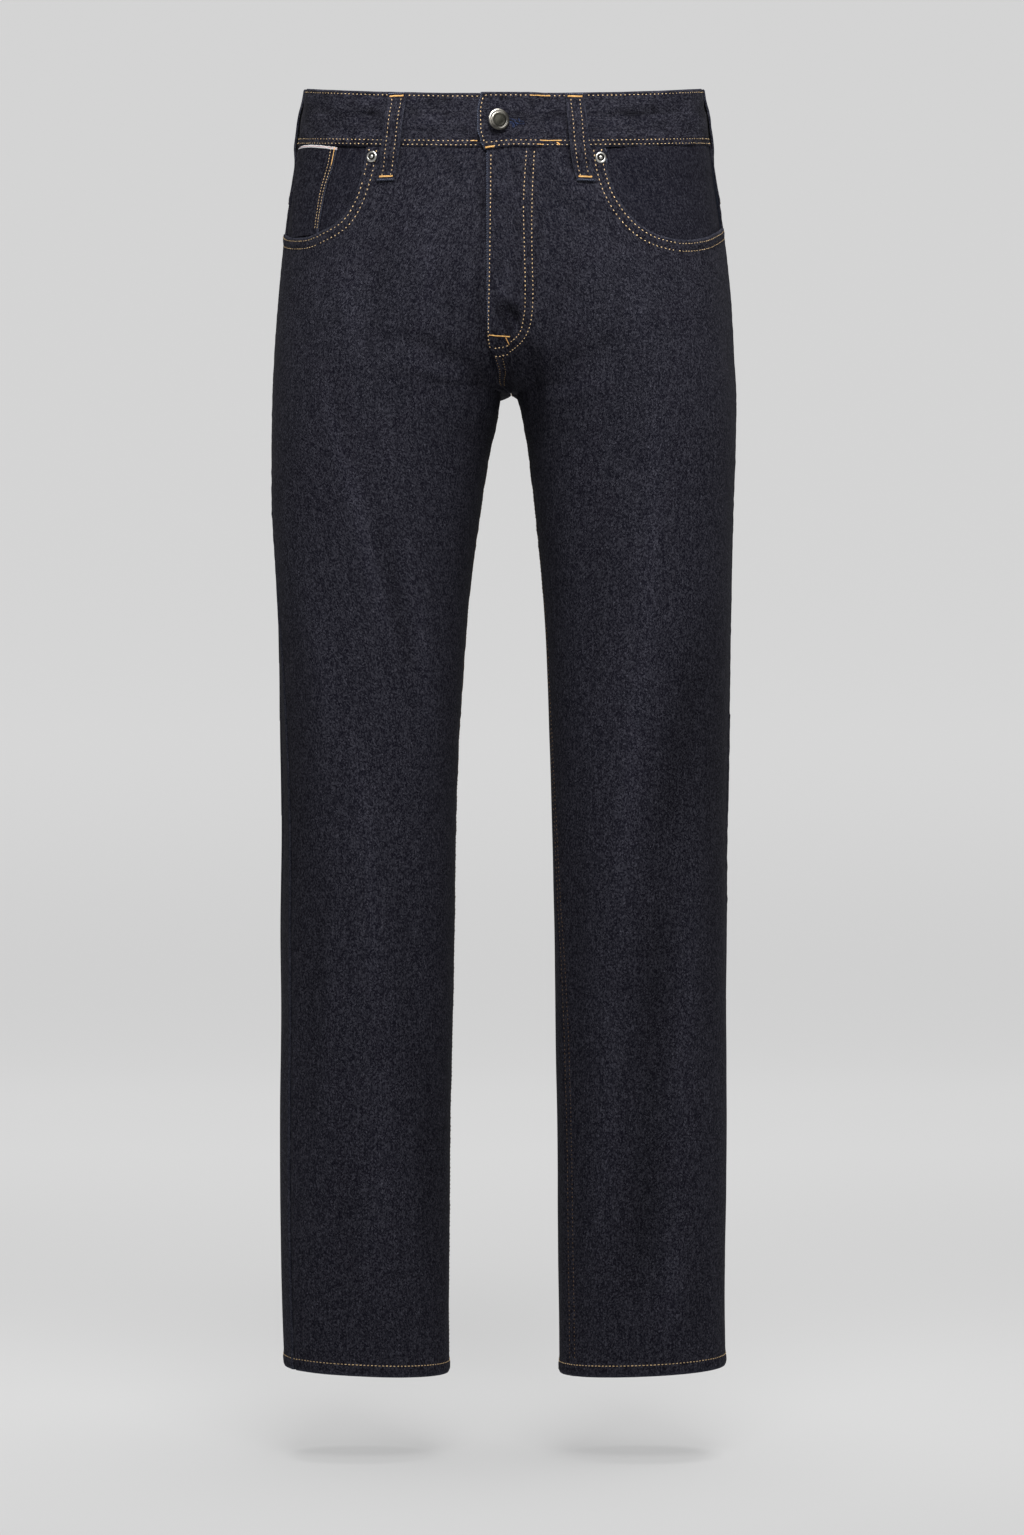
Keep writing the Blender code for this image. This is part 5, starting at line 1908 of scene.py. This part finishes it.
def metal():
    bright = colour(0.30, 0.285, 0.255)
    button_metal = nickel("button_nickel", bright, colour(0.042, 0.041, 0.034),
                          [(-1.0, 5.6), (7.3, 7.6)], lit=BUTTON_PAINTED_GLINT)
    rivet_metal = nickel("rivet_nickel", colour(0.54, 0.53, 0.50),
                         colour(0.006, 0.006, 0.006), [(1.6, 3.0)])
    tack_metal = nickel("tack_nickel", bright, colour(0.2, 0.19, 0.17), [(3.9, 4.9)])
    point, normal = skin(-1, angle_at(-1, -BUTTON_X, BUTTON_DROP), BUTTON_DROP)
    facing_way = Matrix.Rotation(math.radians(BUTTON_TURN), 3, "Z") @ normal
    out = BAND_PROUD + BAND_LAP + METAL_GAP + BUTTON_OUT
    made = turned("button_cap", BUTTON_PROFILE, 72, point + normal * out, facing_way,
                  button_metal)
    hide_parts("button")
    inner = BAND_PROUD - BAND_WALL - TACK_ROOM
    made = turned("button_tack", TACK_PROFILE, 32, point + normal * inner, normal,
                  tack_metal)
    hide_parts("button_back")
    for word, (x, drop) in RIVETS.items():
        side = 1 if x > 0 else -1
        point, normal = skin(side, angle_at(side, abs(x), drop), drop)
        made = turned("rivet_head_" + word, RIVET_PROFILE, 40,
                      point + normal * (METAL_GAP + 0.3), normal, rivet_metal)
        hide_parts("rivet_" + word)
        made = turned("rivet_tack_" + word, TACK_PROFILE, 28,
                      point + normal * (INSIDE - CLOTH - TACK_ROOM), normal, tack_metal)
        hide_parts("rivet_back_" + word)


metal()

# ================================================================ studio
# A pale seamless floor that runs up into the wall behind, soft light from the front and
# above, and a long lens level with the garment's middle.
CAMERA_FAR = 3.6
CAMERA_X = 0.00668
CAMERA_Z = -0.542
PIXEL = 0.000835     # what one pixel shows of the garment, in metres
IMAGE_HEIGHT = 1535
SENSOR = 36.0
FLOOR_Z = -1.117
FLOOR_FRONT = -9.0
FLOOR_SIDE = 9.0
WALL_Y = 4.4         # where the floor begins to turn up
WALL_TURN = 1.4      # the radius it turns with
WALL_TOP = 8.0
# The paper's own light: how much it gains between two places in millimetres, along the
# floor from front to back or up from it.
Glow = namedtuple("Glow", "way start end gain")
GLOW = [
    Glow("along", -600.0, 3000.0, 0.02),
    Glow("up", 0.0, 700.0, 0.112),
    Glow("up", 700.0, 1500.0, 0.020),
    Glow("along", 0.0, 1200.0, -0.075),
    Glow("along", 1300.0, 3000.0, 0.060),
]
GLOW_LEAST = 0.429
AMBIENT = 0.24
KEY_SIZE = 1.2
KEY_SPREAD = 50.0
KEY_POWER = 8.3
OVERHEAD_ANGLE = 30
OVERHEAD_POWER = 2.4


def studio():
    camera_data = bpy.data.cameras.new("camera")
    camera_data.sensor_fit = "VERTICAL"
    camera_data.sensor_height = SENSOR
    camera_data.lens = SENSOR * CAMERA_FAR / (PIXEL * IMAGE_HEIGHT)
    camera = bpy.data.objects.new("camera", camera_data)
    camera.location = (CAMERA_X, -CAMERA_FAR, CAMERA_Z)
    camera.rotation_euler = (math.pi / 2, 0, 0)
    bpy.context.scene.collection.objects.link(camera)
    bpy.context.scene.camera = camera

    bm = bmesh.new()
    profile = [(FLOOR_FRONT, 0.0), (WALL_Y, 0.0)]
    for k in range(1, 13):
        angle = math.pi / 2 * k / 12
        profile.append((WALL_Y + WALL_TURN * math.sin(angle),
                        WALL_TURN * (1 - math.cos(angle))))
    profile.append((WALL_Y + WALL_TURN, WALL_TOP))
    points = [bm.verts.new((-FLOOR_SIDE, y, FLOOR_Z + z)) for y, z in profile]
    edges = [bm.edges.new(pair) for pair in zip(points, points[1:])]
    pushed = bmesh.ops.extrude_edge_only(bm, edges=edges)["geom"]
    moved = [v for v in pushed if isinstance(v, bmesh.types.BMVert)]
    bmesh.ops.translate(bm, verts=moved, vec=(2 * FLOOR_SIDE, 0, 0))
    bmesh.ops.recalc_face_normals(bm, faces=bm.faces)
    paper = Finish("paper", Base_Color=colour(0.2, 0.2, 0.2), Roughness=0.95)
    paper.shader.inputs["Specular IOR Level"].default_value = 0.0
    _, along, up = paper.coordinates()
    ways = {"along": along, "up": up - FLOOR_Z / MM}
    glow = ways[GLOW[0].way].step(GLOW[0].start, GLOW[0].end) * GLOW[0].gain
    for part in GLOW[1:]:
        glow = glow + ways[part.way].step(part.start, part.end) * part.gain
    glow = glow + GLOW_LEAST
    paper.feed("Emission Color", paper.vector(glow, glow, glow))
    paper.shader.inputs["Emission Strength"].default_value = 1.0
    mesh = bpy.data.meshes.new("floor")
    bm.to_mesh(mesh)
    bm.free()
    mesh.shade_smooth()
    mesh.materials.append(paper.material)
    floor = bpy.data.objects.new("floor", mesh)
    bpy.context.scene.collection.objects.link(floor)

    world = bpy.data.worlds.new("studio")
    world.use_nodes = True
    background = world.node_tree.nodes["Background"]
    background.inputs["Color"].default_value = (1.0, 1.0, 1.0, 1.0)
    background.inputs["Strength"].default_value = AMBIENT
    bpy.context.scene.world = world

    key = bpy.data.lights.new("key", "AREA")
    key.shape = "RECTANGLE"
    key.size = key.size_y = KEY_SIZE
    key.spread = math.radians(KEY_SPREAD)
    key.energy = KEY_POWER
    overhead = bpy.data.lights.new("overhead", "SUN")
    overhead.angle = math.radians(OVERHEAD_ANGLE)
    overhead.energy = OVERHEAD_POWER
    for lamp, place, aim in ((key, (0.12, -1.5, 1.5), (0, 0, 0.1)),
                             (overhead, (0.06, -0.02, 1.0), (0, 0, 0))):
        light = bpy.data.objects.new(lamp.name, lamp)
        light.location = place
        way = Vector(aim) - light.location
        light.rotation_euler = way.to_track_quat("-Z", "Y").to_euler()
        bpy.context.scene.collection.objects.link(light)
    bpy.context.scene.view_settings.view_transform = "Standard"


studio()
